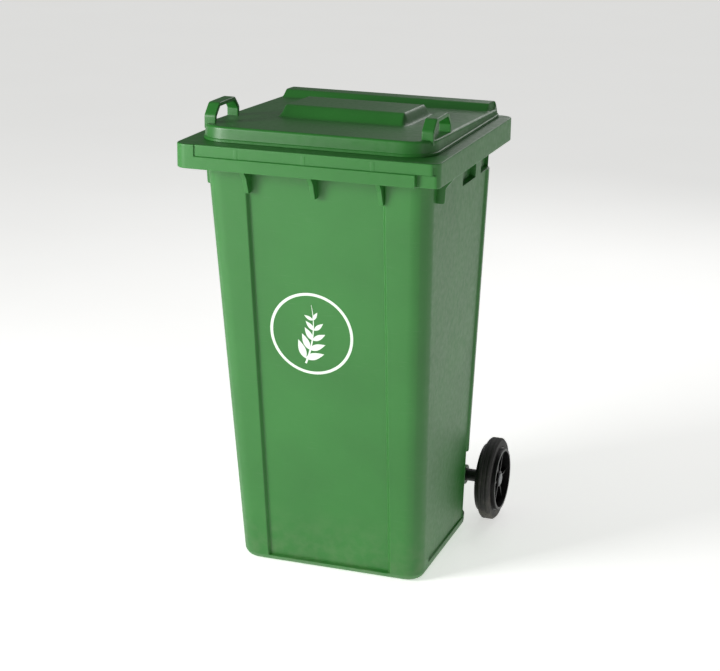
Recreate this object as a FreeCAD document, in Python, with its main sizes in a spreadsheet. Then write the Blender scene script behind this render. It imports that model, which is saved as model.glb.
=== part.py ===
import FreeCAD, Part
import Sketcher
import math
import os
import re

"""Two-wheeled litter bin: a tapered tub with a lifting collar, a hinged lid and two wheels on an axle.

Millimetres. +Z is up, the front faces -Y and +X is the bin's right seen from the front.
The origin is the middle of the overall box, on the ground.
"""

SIZES = {
    # overall
    "overall_depth": 735,
    # lifting collar around the mouth
    "collar_width": 580,
    "collar_depth": 597,
    "collar_top": 1004,
    "collar_height": 52,
    "collar_skin": 5,
    "collar_corner": 28,
    "band_setback": 3,
    "band_height": 25,
    "band_margin": 46,
    "notch_length": 42,
    "notch_depth": 10,
    "notch_backing": 16,
    "slit_width": 8,
    "notch_margin": 5,
    "notch_land": 7,
    # tub, measured from the collar's front face (depths) and the middle plane (half widths)
    "tub_front_top": 58,
    "tub_front_base": 184,
    "tub_rear_top": 581,
    "tub_rear_base": 575,
    "tub_half_top": 255,
    "tub_half_base": 218,
    "tub_corner": 42,
    "tub_wall": 3.6,
    "cavity_corner": 30,
    "tub_foot": 22,
    "floor_gap": 7,
    "base_ring": 34,
    # recessed panels between the corner columns
    "panel_half_top": 150,
    "panel_half_base": 142,
    "panel_depth": 9,
    "panel_draft": 7,
    "panel_foot": 16,
    "flank_depth": 4,
    "flank_front": 66,
    "flank_rear": 40,
    "flank_foot": 30,
    "back_depth": 5,
    "back_half": 128,
    # lip that the lid closes over
    "lip_height": 9,
    "lip_thickness": 3,
    # gussets under the collar
    "gusset_drop": 57,
    "gusset_thickness": 10,
    "gusset_spread": 150,
    "side_gusset_reach": 36,
    "side_gusset_step": 17,
    "side_gusset_taper": 24,
    "side_gusset_at": 132,
    # hand pockets under the collar, two in each side wall
    "pocket_height": 63,
    "pocket_depth": 17,
    "pocket_one_front": 336,
    "pocket_one_length": 104,
    "pocket_two_front": 482,
    "pocket_two_length": 84,
    # recess beside the axle carrier, low in each side wall
    "well_front": 528,
    "well_length": 38,
    "well_low": 36,
    "well_height": 165,
    "well_depth": 26,
    "hollow_reach": 21.6,
    # rear grips and hinge
    "hinge_back": 656,
    "hinge_rise": 2,
    "grip_radius": 14,
    "grip_inner": 92,
    "grip_length": 112,
    "grip_plate": 9,
    "hinge_pin_radius": 6,
    "hinge_head_radius": 10,
    "hinge_head": 4,
    "hinge_pin_bevel": 2,
    "lug_width": 12,
    "lug_gap": 1.5,
    # lid
    "lid_half": 259,
    "lid_front": 47,
    "lid_rear": 590,
    "lid_front_corner": 60,
    "lid_rear_corner": 18,
    "lid_gap": 0.3,
    "lid_edge_front": 1037,
    "lid_edge_rear": 1021,
    "lid_skin": 3.5,
    "lid_draft": 2,
    "lid_round": 6,
    "bead_height": 6,
    "bead_reach": 2,
    # raised middle of the lid
    "dome_half": 150,
    "dome_front": 224,
    "dome_rear": 432,
    "dome_rise": 25,
    "dome_slope": 38,
    "dome_side_slope": 16,
    "dome_corner": 22,
    "dome_corner_step": 4,
    "mound_root": 0.5,
    # raised hood along the lid's rear edge
    "hood_half": 250,
    "hood_front": 512,
    "hood_rise": 17,
    "hood_slope": 30,
    "hood_end": 5,
    # carrying loops on the lid's front corners
    "loop_middle": 241,
    "loop_width": 26,
    "loop_front": 82,
    "loop_length": 132,
    "loop_rise": 40,
    "loop_strap": 9,
    "loop_bevel": 24,
    # axle and wheels
    "wheel_radius": 100,
    "wheel_middle": 263,
    "tread_width": 30,
    "tyre_thickness": 22,
    "tyre_shoulder": 4,
    "rim_inner_radius": 82,
    "rim_inner_reach": 10,
    "rim_outer_radius": 75,
    "rim_outer_reach": 9,
    "rim_wall": 6,
    "web_thickness": 5,
    "boss_radius": 19,
    "rib_thickness": 4,
    "axle_radius": 10,
    "axle_end": 279,
    "axle_bevel": 1.5,
    "boss_past_axle": 1,
    "sleeve_radius": 15,
    "washer_thickness": 2,
    "washer_radius": 17,
    "carrier_start": 148,
    "carrier_width": 48,
    "carrier_radius": 24,
    "carrier_drop": 46,
    "cap_radius": 15,
    "cap_thickness": 3,
    "cap_bevel": 1,
    "cap_plug_radius": 9,
    # sprung lock pin that holds each wheel on the axle
    "lock_at": 268,
    "lock_radius": 3.5,
    "lock_groove_depth": 2.5,
    "lock_groove_width": 9,
    "lock_length": 20,
    "lock_head_radius": 4.7,
    "lock_head": 2.5,
    "tower_radius": 8,
    "tower_top": 44,
    "tower_root": 2,
    "spring_radius": 3.7,
    "spring_wire": 0.7,
    "spring_length": 12,
    "spring_turns": 5,
    # how far a cut runs past a face, and an added block into its neighbour
    "overlap": 1,
    # clearances
    "running_gap": 0.08,
    "seat_gap": 0.15,
    "side_gap": 0.4,
}

# values worked out from the sizes above, as cell formulas
DERIVED = {
    "front_face": "=-overall_depth / 2",
    "collar_low": "=collar_top - collar_height",
    "hinge_depth": "=front_face + hinge_back",
    "hinge_height": "=collar_top + hinge_rise",
    "axle_depth": "=overall_depth / 2 - wheel_radius",
    "tub_slope": "=(tub_front_base - tub_front_top) / collar_top",
    "flank_slope": "=(tub_half_top - tub_half_base) / collar_top",
    "front_inset": "=panel_depth + tub_wall",
    "flank_inset": "=flank_depth + tub_wall",
    "lid_low": "=collar_top + lid_gap",
    "lid_tilt": "=atan((lid_edge_front - lid_edge_rear) / (lid_rear - lid_front)) / 1deg",
    "hub_start": "=wheel_middle - tread_width / 2 - rim_inner_reach",
    "hub_end": "=wheel_middle + tread_width / 2 + rim_outer_reach",
    "sleeve_start": "=carrier_start + carrier_width + side_gap",
    "sleeve_end": "=hub_start - side_gap - washer_thickness - side_gap",
    "boss_end": "=axle_end + boss_past_axle",
    "rim_radius": "=wheel_radius - tyre_thickness",
    "lug_reach": "=lug_width + lug_gap",
    "lock_tip": "=axle_radius - lock_groove_depth + running_gap",
    "lock_seat": "=lock_tip + lock_length - lock_head - running_gap",
    "spring_low": "=lock_tip + lock_length + running_gap",
    "tyre_start": "=wheel_middle - tread_width / 2",
    "tyre_end": "=wheel_middle + tread_width / 2",
    "cavity_floor": "=floor_gap + tub_wall",
}

NAMES = set(SIZES) | set(DERIVED)
EDGE_STEPS = 3
HUB_RIBS = 6
PLANES = {"XY": "XY_Plane", "XZ": "XZ_Plane", "YZ": "YZ_Plane"}


def make_sheet(doc):
    """Write the driving sizes and the derived values into the spreadsheet."""
    sheet = doc.addObject("Spreadsheet::Sheet", "Sizes")
    rows = list(SIZES.items()) + list(DERIVED.items())
    for row, (alias, content) in enumerate(rows, start=1):
        sheet.set(f"A{row}", alias)
        sheet.set(f"B{row}", str(content))
        sheet.setAlias(f"B{row}", alias)
    doc.recompute()
    return sheet


def linked(formula):
    """Turn a formula written with aliases into one that reads the spreadsheet."""
    return re.sub(r"[A-Za-z_]+", lambda word: f"Sizes.{word[0]}" if word[0] in NAMES else word[0],
                  str(formula))


def value(obj, formula):
    """Evaluate a formula against the spreadsheet."""
    result = obj.evalExpression(linked(formula))
    return float(getattr(result, "Value", result))


def bind(obj, **formulas):
    """Bind properties of an object to formulas; double underscores stand for dots."""
    for name, formula in formulas.items():
        obj.setExpression(name.replace("__", "."), linked(formula))


class Piece:
    """One sub-part: a PartDesign body whose features are bound to the spreadsheet."""

    def __init__(self, doc, label):
        self.doc = doc
        self.body = doc.addObject("PartDesign::Body", label)
        self.body.Label = label

    def sketch(self, name, plane, offset=0, tilt=0, pivot=0):
        """Empty sketch on an origin plane, shifted along its normal and tilted about X."""
        item = self.body.newObject("Sketcher::SketchObject", name)
        role = PLANES[plane]
        feature = next(f for f in self.body.Origin.OriginFeatures if f.Role == role)
        item.AttachmentSupport = [(feature, "")]
        item.MapMode = "FlatFace"
        bind(item, AttachmentOffset__Base__z=offset)
        if tilt:
            item.AttachmentOffset = FreeCAD.Placement(
                FreeCAD.Vector(0, 0, 0), FreeCAD.Rotation(FreeCAD.Vector(-1, 0, 0), 1))
            bind(item, AttachmentOffset__Rotation__Angle=tilt, AttachmentOffset__Base__y=pivot,
                 AttachmentOffset__Base__z=offset)
        return item

    def polygon(self, item, points):
        """Closed outline whose corners are (horizontal, vertical) formulas."""
        spots = [FreeCAD.Vector(value(item, u), value(item, v), 0) for u, v in points]
        first = item.GeometryCount
        count = len(spots)
        for index in range(count):
            item.addGeometry(Part.LineSegment(spots[index], spots[(index + 1) % count]), False)
        for index in range(count):
            item.addConstraint(Sketcher.Constraint(
                "Coincident", first + index, 2, first + (index + 1) % count, 1))
        for index, (u, v) in enumerate(points):
            for kind, formula, amount in (("DistanceX", u, spots[index].x),
                                          ("DistanceY", v, spots[index].y)):
                number = item.addConstraint(Sketcher.Constraint(kind, first + index, 1, amount))
                item.setExpression(f"Constraints[{number}]", linked(formula))
        return item

    def rounded(self, item, half, front, rear, front_corner, rear_corner=None):
        """Rectangle, symmetrical about X = 0, with rounded corners."""
        rear_corner = rear_corner or front_corner
        x = value(item, half)
        y0, y1 = value(item, front), value(item, rear)
        r0, r1 = value(item, front_corner), value(item, rear_corner)
        first = item.GeometryCount
        corners = [(x, y0, r0, -90), (x, y1, r1, 0), (-x, y1, r1, 90), (-x, y0, r0, 180)]
        centres = [FreeCAD.Vector(cx - r * (1 if cx > 0 else -1), cy + r * (1 if cy == y0 else -1), 0)
                   for cx, cy, r, start in corners]
        normal = FreeCAD.Vector(0, 0, 1)
        for centre, (cx, cy, r, start) in zip(centres, corners):
            circle = Part.Circle(centre, normal, r)
            begin = math.radians(start)
            item.addGeometry(Part.ArcOfCircle(circle, begin, begin + math.pi / 2), False)
        ends = [item.getPoint(first + k, 2) for k in range(4)]
        starts = [item.getPoint(first + (k + 1) % 4, 1) for k in range(4)]
        for k in range(4):
            item.addGeometry(Part.LineSegment(ends[k], starts[k]), False)
        for k in range(4):
            item.addConstraint(Sketcher.Constraint("Tangent", first + k, 2, first + 4 + k, 1))
            item.addConstraint(Sketcher.Constraint("Tangent", first + 4 + k, 2, first + (k + 1) % 4, 1))
        item.addConstraint(Sketcher.Constraint("Vertical", first + 4))
        item.addConstraint(Sketcher.Constraint("Horizontal", first + 5))
        item.addConstraint(Sketcher.Constraint("Vertical", first + 6))
        item.addConstraint(Sketcher.Constraint("Horizontal", first + 7))
        item.addConstraint(Sketcher.Constraint("Equal", first, first + 3))
        item.addConstraint(Sketcher.Constraint("Equal", first + 1, first + 2))
        sizes = [("DistanceX", first + 4, half, x), ("DistanceX", first + 6, f"-({half})", -x),
                 ("DistanceY", first + 7, front, y0), ("DistanceY", first + 5, rear, y1)]
        for kind, line, formula, amount in sizes:
            number = item.addConstraint(Sketcher.Constraint(kind, line, 1, amount))
            item.setExpression(f"Constraints[{number}]", linked(formula))
        for arc, formula, amount in ((first, front_corner, r0), (first + 1, rear_corner, r1)):
            number = item.addConstraint(Sketcher.Constraint("Radius", arc, amount))
            item.setExpression(f"Constraints[{number}]", linked(formula))
        return item

    def feature(self, kind, name, **formulas):
        """Add a PartDesign feature with properties bound to formulas."""
        item = self.body.newObject(f"PartDesign::{kind}", name)
        item.Refine = False
        bind(item, **formulas)
        return item

    def pad(self, name, profile, length, kind="Pad", reverse=False):
        """Pad or pocket of a sketch."""
        item = self.feature(kind, name, Length=length)
        item.Profile = profile
        item.Reversed = reverse
        profile.Visibility = False
        return item

    def loft(self, name, lower, upper, kind="AdditiveLoft"):
        """Ruled loft from one sketch through another, or through several."""
        item = self.feature(kind, name)
        item.Profile = lower
        item.Sections = upper if isinstance(upper, list) else [upper]
        item.Ruled = True
        return item

    def revolve(self, name, profile, kind="Revolution"):
        """Full turn of a sketch drawn on XZ about its horizontal axis."""
        item = self.feature(kind, name)
        item.Profile = profile
        item.ReferenceAxis = (profile, ["H_Axis"])
        item.Angle = 360
        return item

    def box(self, name, low, high, kind="AdditiveBox"):
        """Box between two corners given as formulas."""
        item = self.feature(kind, name, Length=f"({high[0]}) - ({low[0]})",
                            Width=f"({high[1]}) - ({low[1]})", Height=f"({high[2]}) - ({low[2]})",
                            Placement__Base__x=low[0], Placement__Base__y=low[1],
                            Placement__Base__z=low[2])
        return item

    def rod(self, name, start, depth, height, radius, length, kind="AdditiveCylinder"):
        """Cylinder along +X."""
        item = self.feature(kind, name)
        item.Placement = FreeCAD.Placement(
            FreeCAD.Vector(0, 0, 0), FreeCAD.Rotation(FreeCAD.Vector(0, 1, 0), 90))
        bind(item, Radius=radius, Height=length, Placement__Base__x=start,
             Placement__Base__y=depth, Placement__Base__z=height)
        return item

    def post(self, name, across, depth, low, radius, length, kind="AdditiveCylinder"):
        """Cylinder along +Z."""
        return self.feature(kind, name, Radius=radius, Height=length, Placement__Base__x=across,
                            Placement__Base__y=depth, Placement__Base__z=low)


def mirrored(side, low, high):
    """Range of X for a feature on the right (side 1) or on the left (side -1)."""
    return (low, high) if side > 0 else (f"-({high})", f"-({low})")


SIDES = (("right", 1), ("left", -1))


def front_at(height):
    """Y of the tub's front wall at a height."""
    return f"front_face + tub_front_base - tub_slope * ({height})"


def half_at(height):
    """Half width of the tub at a height."""
    return f"tub_half_base + flank_slope * ({height})"


def rear_at(height):
    """Y of the tub's rear wall at a height."""
    return f"front_face + tub_rear_base + (tub_rear_top - tub_rear_base) / collar_top * ({height})"


def tub_outline(piece, name, height, inset=("0", "0", "0"), corner="tub_corner"):
    """Rounded section of the tub, inset at the front, the sides and the rear."""
    item = piece.sketch(name, "XY", height)
    return piece.rounded(item, f"{half_at(height)} - ({inset[1]})", f"{front_at(height)} + {inset[0]}",
                         f"{rear_at(height)} - ({inset[2]})", corner)


def collar_outline(piece, name, height, inset="0"):
    """Rounded outline of the collar at a height."""
    item = piece.sketch(name, "XY", height)
    return piece.rounded(item, f"collar_width / 2 - {inset}", f"front_face + {inset}",
                         f"front_face + collar_depth - {inset}", f"collar_corner - {inset}")


def add_tub(piece):
    """Solid tub with its collar flange and lip, before it is hollowed."""
    sections = []
    for step in range(EDGE_STEPS):
        turn = math.pi / 2 * step / EDGE_STEPS
        inset = f"tub_foot * {1 - math.sin(turn):.5f}"
        sections.append(tub_outline(piece, f"Foot{step}", f"tub_foot * {1 - math.cos(turn):.5f}",
                                    (inset, inset, inset), f"tub_corner - {inset}"))
    sections.append(tub_outline(piece, "FootTop", "tub_foot"))
    sections.append(tub_outline(piece, "TubTop", "collar_top"))
    piece.loft("TubOuter", sections[0], sections[1:])
    piece.pad("Flange", collar_outline(piece, "FlangeOutline", "collar_top - collar_skin"), "collar_skin")
    skirt = collar_outline(piece, "SkirtOutline", "collar_low")
    piece.rounded(skirt, "collar_width / 2 - collar_skin", "front_face + collar_skin",
                  "front_face + collar_depth - collar_skin", "collar_corner - collar_skin")
    piece.pad("Skirt", skirt, "collar_height")
    lip = ("front_inset - lip_thickness", "flank_inset - lip_thickness",
           "(tub_wall + back_depth - lip_thickness)")
    piece.pad("Lip", tub_outline(piece, "LipOutline", "collar_top", lip), "lip_height")


def add_gusset(piece, name, plane, points, offset):
    """Web under the collar, drawn on its plane and padded by its thickness."""
    outline = piece.polygon(piece.sketch(name + "Outline", plane, offset), points)
    piece.pad(name, outline, "gusset_thickness")


def add_gussets(piece):
    """Three webs across the front and one on each side."""
    tail = "collar_low - gusset_drop"
    step = "collar_low - side_gusset_taper"
    front = [(f"{front_at('collar_top')} + front_inset", "collar_top - collar_skin / 2"),
             ("front_face + collar_skin / 2", "collar_top - collar_skin / 2"),
             ("front_face + collar_skin / 2", "collar_low + collar_skin"),
             (f"{front_at('collar_low')} - side_gusset_reach", "collar_low"),
             (f"{front_at(step)} - side_gusset_step", step),
             (f"{front_at(tail)} - side_gusset_step / 2", tail),
             (f"{front_at(tail)} + front_inset - tub_wall / 2", tail)]
    for name, middle in (("GussetLeft", "-gusset_spread"), ("GussetMiddle", "0"),
                         ("GussetRight", "gusset_spread")):
        add_gusset(piece, name, "YZ", front, f"{middle} - gusset_thickness / 2")
    for name, side in SIDES:
        wall = [(f"{half_at('collar_top')} - flank_inset + tub_wall / 2", "collar_top - collar_skin / 2"),
                ("collar_width / 2 - collar_skin / 2", "collar_top - collar_skin / 2"),
                ("collar_width / 2 - collar_skin / 2", "collar_low"),
                (f"{half_at(step)} + side_gusset_step", step),
                (f"{half_at(tail)} + side_gusset_step", tail),
                (f"{half_at(tail)} - flank_inset + tub_wall / 2", tail)]
        points = [(u if side > 0 else f"-({u})", v) for u, v in wall]
        add_gusset(piece, "SideGusset" + name.title(), "XZ", points,
                   "-(front_face + side_gusset_at) - gusset_thickness / 2")


def cut_panels(piece):
    """Shallow panels between the corner columns, with drafted edges on the front."""
    def front(name, height, half):
        face = front_at(height)
        return piece.polygon(piece.sketch(name, "XY", height), [
            (f"-({half} + panel_draft)", f"{face} - overlap"),
            (f"{half} + panel_draft", f"{face} - overlap"),
            (half, f"{face} + panel_depth"), (f"-{half}", f"{face} + panel_depth")])

    def flank(name, height, side):
        inner = f"{half_at(height)} - flank_depth"
        outer = f"{half_at(height)} + overlap"
        near = f"{front_at(height)} + flank_front"
        far = f"{rear_at(height)} - flank_rear"
        points = [(inner, near), (outer, near), (outer, far), (inner, far)]
        return piece.polygon(piece.sketch(name, "XY", height),
                             [(u if side > 0 else f"-({u})", v) for u, v in points])

    def back(name, height):
        face = rear_at(height)
        return piece.polygon(piece.sketch(name, "XY", height), [
            ("-back_half", f"{face} - back_depth"), ("back_half", f"{face} - back_depth"),
            ("back_half + back_depth", f"{face} + overlap"),
            ("-(back_half + back_depth)", f"{face} + overlap")])

    piece.loft("FrontPanel", front("FrontPanelLow", "panel_foot", "panel_half_base"),
               front("FrontPanelHigh", "collar_low", "panel_half_top"), "SubtractiveLoft")
    for name, side in SIDES:
        piece.loft("Flank" + name.title(), flank("FlankLow" + name, "flank_foot", side),
                   flank("FlankHigh" + name, "collar_low", side), "SubtractiveLoft")
    piece.loft("BackPanel", back("BackPanelLow", "carrier_drop + axle_radius + wheel_radius"),
               back("BackPanelHigh", "collar_low"), "SubtractiveLoft")


def cut_cavity(piece):
    """The inside of the tub and the shallow recess under its floor."""
    inset = ("front_inset", "flank_inset", "(tub_wall + back_depth)")
    piece.loft("Cavity", tub_outline(piece, "CavityFloor", "cavity_floor", inset, "cavity_corner"),
               tub_outline(piece, "CavityMouth", "collar_top + lip_height + overlap", inset, "cavity_corner"),
               "SubtractiveLoft")
    ring = ("base_ring", "base_ring", "base_ring")
    piece.pad("Underside", tub_outline(piece, "UndersideOutline", "0", ring, "tub_corner / 2"),
              "floor_gap", "Pocket", True)


def add_hollow(piece, name, low, high, side):
    """Recess pressed into a side wall: a box of wall material, then the recess itself."""
    x0, x1 = mirrored(side, f"{low[0]} - tub_wall", high[0])
    piece.box(name + "Wall", (x0, f"{low[1]} - tub_wall", f"{low[2]} - tub_wall"),
              (x1, f"{high[1]} + tub_wall", f"{high[2]} + tub_wall"))
    x0, x1 = mirrored(side, low[0], f"{high[0]} + hollow_reach")
    piece.box(name, (x0, low[1], low[2]), (x1, high[1], high[2]), "SubtractiveBox")


def add_side_recesses(piece):
    """Two hand pockets under the collar and one recess beside the axle, on each side."""
    low = "collar_low - pocket_height"
    for name, side in SIDES:
        floor = f"{half_at(low)} - pocket_depth"
        for number, front, length in (("One", "pocket_one_front", "pocket_one_length"),
                                      ("Two", "pocket_two_front", "pocket_two_length")):
            start = f"front_face + {front}"
            add_hollow(piece, "Pocket" + number + name.title(), (floor, start, low),
                       (f"{half_at(low)} - flank_inset", f"{start} + {length}", "collar_low - overlap"),
                       side)
        floor = f"{half_at('well_low')} - well_depth"
        start = "front_face + well_front"
        add_hollow(piece, "Well" + name.title(), (floor, start, "well_low"),
                   (f"{half_at('well_low')} - flank_inset - tub_wall", f"{start} + well_length",
                    "well_low + well_height"), side)


def add_grips(piece):
    """Rear grip bars on plates, bored for the hinge pins."""
    rear = "front_face + collar_depth"
    plate = [(f"{rear} - collar_skin / 2", "collar_low"), ("hinge_depth", "hinge_height - grip_radius"),
             ("hinge_depth", "hinge_height + grip_radius / 2"), (f"{rear} - collar_skin / 2", "collar_top")]
    for name, side in SIDES:
        start, end = mirrored(side, "grip_inner", "grip_inner + grip_length")
        piece.rod("Grip" + name.title(), start, "hinge_depth", "hinge_height", "grip_radius", "grip_length")
        for number, offset in (("Near", start), ("Far", f"{end} - grip_plate")):
            outline = piece.polygon(piece.sketch("Plate" + number + name, "YZ", offset), plate)
            piece.pad("GripPlate" + number + name.title(), outline, "grip_plate")
        piece.rod("GripBore" + name.title(), f"{start} - overlap", "hinge_depth", "hinge_height",
                  "hinge_pin_radius + running_gap", "grip_length + 2 * overlap", "SubtractiveCylinder")


def add_carriers(piece):
    """Bosses behind the foot that carry the axle."""
    for name, side in SIDES:
        start, end = mirrored(side, "carrier_start", "carrier_start + carrier_width")
        wall = "front_face + tub_rear_base - tub_wall"
        piece.box("CarrierWeb" + name.title(), (start, wall, "wheel_radius - carrier_drop"),
                  (end, "axle_depth", "wheel_radius + carrier_radius"))
        piece.rod("Carrier" + name.title(), start, "axle_depth", "wheel_radius", "carrier_radius",
                  "carrier_width")
        piece.rod("CarrierBore" + name.title(), f"{start} - overlap", "axle_depth", "wheel_radius",
                  "axle_radius + seat_gap", "carrier_width + 2 * overlap", "SubtractiveCylinder")


def cut_collar_details(piece):
    """Set-back upper band on the collar's front and the notch beside its right corner."""
    half = "collar_width / 2"
    end = f"{half} - notch_margin"
    split = "collar_top - band_height"
    piece.box("NotchBacking",
              (f"{end} - notch_length - notch_land", "front_face + overlap", "collar_low"),
              (f"{half} - overlap", "front_face + notch_backing", "collar_top - overlap"))
    piece.box("Band", (f"band_margin - {half}", "front_face - overlap", split),
              (f"{end} - slit_width", "front_face + band_setback", "collar_top + overlap"),
              "SubtractiveBox")
    piece.box("Notch", (f"{end} - notch_length", "front_face - overlap", "collar_low - overlap"),
              (end, "front_face + notch_depth", split), "SubtractiveBox")
    piece.box("Slit", (f"{end} - slit_width", "front_face - overlap", f"{split} - overlap"),
              (end, "front_face + notch_depth", "collar_top - collar_skin"), "SubtractiveBox")


def make_bin_body(doc):
    """The moulded tub with collar, grips and axle carriers."""
    piece = Piece(doc, "bin_body")
    add_tub(piece)
    cut_panels(piece)
    add_gussets(piece)
    add_carriers(piece)
    cut_cavity(piece)
    add_side_recesses(piece)
    cut_collar_details(piece)
    add_grips(piece)
    return piece


def lid_plane(piece, name, rise="0"):
    """Sketch in the lid's top plane, which falls to the rear; its Y runs from the lid's front."""
    return piece.sketch(name, "XY", f"lid_edge_front + {rise}", "lid_tilt", "front_face + lid_front")


def lid_section(piece, name, inset, rise=None):
    """Outline of the lid at its skirt's lower edge, or in its top plane when a rise is given."""
    if rise is None:
        item = piece.sketch(name, "XY", "lid_low")
        start, end, half = "front_face + lid_front", "front_face + lid_rear", "lid_half"
    else:
        item = lid_plane(piece, name, rise)
        start, end, half = "lid_draft", "lid_rear - lid_front - lid_draft", "lid_half - lid_draft"
    return piece.rounded(item, f"{half} - {inset}", f"{start} + {inset}", f"{end} - {inset}",
                         f"lid_front_corner - {inset}", f"lid_rear_corner - {inset}")


def lid_mound(piece, name, half, front, rear, rise, slopes, inset, kind):
    """Raised part of the lid: a frustum standing on the top plane."""
    drop = f"-{inset} - overlap" if inset != "0" else "-mound_root"
    low = piece.rounded(lid_plane(piece, name + "Low", drop), f"{half} - {inset}",
                        f"{front} - lid_front + {inset}", f"{rear} - lid_front - {inset}",
                        f"dome_corner - {inset}")
    high = piece.rounded(lid_plane(piece, name + "High", f"{rise} - {inset}"),
                         f"{half} - {slopes[0]} - {inset}", f"{front} - lid_front + {slopes[1]} + {inset}",
                         f"{rear} - lid_front - {slopes[2]} - {inset}",
                         f"dome_corner - {inset} - dome_corner_step")
    piece.loft(name, low, high, kind)


def add_lid_mounds(piece, inset, kind, tag):
    """The raised middle and the hood along the rear edge."""
    lid_mound(piece, "Dome" + tag, "dome_half", "dome_front", "dome_rear", "dome_rise",
              ("dome_side_slope", "dome_slope", "dome_slope"), inset, kind)
    lid_mound(piece, "Hood" + tag, "hood_half", "hood_front", "(lid_rear - lid_draft)", "hood_rise",
              ("hood_end", "hood_slope", "hood_end"), inset, kind)


def add_loops(piece):
    """Carrying loops that stand on the lid's front corners."""
    front = "front_face + loop_front"
    rear = f"{front} + loop_length"
    top = "lid_edge_front + loop_rise"
    foot = "lid_edge_rear"
    inner = "loop_bevel - loop_strap / 2"
    outline = [(front, foot), (front, f"{top} - loop_bevel"), (f"{front} + loop_bevel", top),
               (f"{rear} - loop_bevel", top), (rear, f"{top} - loop_bevel"), (rear, foot),
               (f"{rear} - loop_strap", foot), (f"{rear} - loop_strap", f"{top} - loop_strap - {inner}"),
               (f"{rear} - loop_strap - {inner}", f"{top} - loop_strap"),
               (f"{front} + loop_strap + {inner}", f"{top} - loop_strap"),
               (f"{front} + loop_strap", f"{top} - loop_strap - {inner}"), (f"{front} + loop_strap", foot)]
    for name, side in SIDES:
        start, end = mirrored(side, "loop_middle - loop_width / 2", "loop_middle + loop_width / 2")
        sketch = piece.polygon(piece.sketch("LoopOutline" + name, "YZ", start), outline)
        piece.pad("Loop" + name.title(), sketch, "loop_width")


def add_lugs(piece):
    """Four hinge lugs that reach back from the lid to the pins."""
    for name, side in SIDES:
        for number, low in (("Inner", "grip_inner - lug_reach"),
                            ("Outer", "grip_inner + grip_length + lug_gap")):
            tag = number + name.title()
            start, end = mirrored(side, low, f"{low} + lug_width")
            piece.box("LugArm" + tag, (start, "front_face + lid_rear - lid_skin", "lid_low"),
                      (end, "hinge_depth", "hinge_height + grip_radius"))
            piece.rod("Lug" + tag, start, "hinge_depth", "hinge_height", "grip_radius", "lug_width")
            piece.rod("LugBore" + tag, f"{start} - overlap", "hinge_depth", "hinge_height",
                      "hinge_pin_radius + running_gap", "lug_width + 2 * overlap", "SubtractiveCylinder")


def make_lid(doc):
    """The moulded lid: skirt, raised middle, rear hood, loops and hinge lugs."""
    piece = Piece(doc, "lid")
    sections = []
    for step in range(EDGE_STEPS + 1):
        turn = math.pi / 2 * step / EDGE_STEPS
        sections.append(lid_section(piece, f"LidEdge{step}", f"(lid_round * {1 - math.cos(turn):.5f})",
                                    f"(-lid_round * {1 - math.sin(turn):.5f})"))
    piece.loft("LidOuter", lid_section(piece, "LidLow", "0"), sections)
    piece.pad("Bead", lid_section(piece, "BeadOutline", "(-bead_reach)"), "bead_height")
    add_loops(piece)
    add_lid_mounds(piece, "0", "AdditiveLoft", "")
    piece.loft("LidInner", lid_section(piece, "LidInnerLow", "(lid_skin + lid_draft)"),
               lid_section(piece, "LidInnerTop", "lid_skin", "(-lid_skin)"), "SubtractiveLoft")
    add_lid_mounds(piece, "lid_skin", "SubtractiveLoft", "Inner")
    add_lugs(piece)
    return piece


def turned(doc, label, points, depth, height):
    """Piece turned about X from (along, radius) points, placed on its own axis."""
    piece = Piece(doc, label)
    piece.revolve("Turned", piece.polygon(piece.sketch("Outline", "XZ"), points))
    bind(piece.body, Placement__Base__y=depth, Placement__Base__z=height)
    return piece


def on_side(side, points):
    """Points of a turned outline for the right side, or mirrored for the left."""
    return [(x if side > 0 else f"-({x})", r) for x, r in points]


def make_hinge_pin(doc, name, side):
    """Hinge pin with a head at its outer end and a bevelled tip."""
    tip = "grip_inner - lug_reach - hinge_head"
    head = "grip_inner + grip_length + lug_reach + side_gap"
    radius = "hinge_pin_radius"
    points = [(tip, "0"), (tip, f"{radius} - hinge_pin_bevel"), (f"{tip} + hinge_pin_bevel", radius),
              (head, radius),
              (head, "hinge_head_radius"), (f"{head} + hinge_head", "hinge_head_radius"),
              (f"{head} + hinge_head", "0")]
    turned(doc, f"hinge_pin_{name}", on_side(side, points), "hinge_depth", "hinge_height")


def make_axle(doc):
    """Steel axle with a bevel and a lock groove at each end."""
    near, far = "lock_at - lock_groove_width / 2", "lock_at + lock_groove_width / 2"
    groove = "axle_radius - lock_groove_depth"
    half = [(near, "axle_radius"), (near, groove), (far, groove), (far, "axle_radius"),
            ("axle_end - axle_bevel", "axle_radius"), ("axle_end", "axle_radius - axle_bevel"),
            ("axle_end", "0")]
    points = half + on_side(-1, half)[::-1]
    turned(doc, "axle", points, "axle_depth", "wheel_radius")


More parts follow.
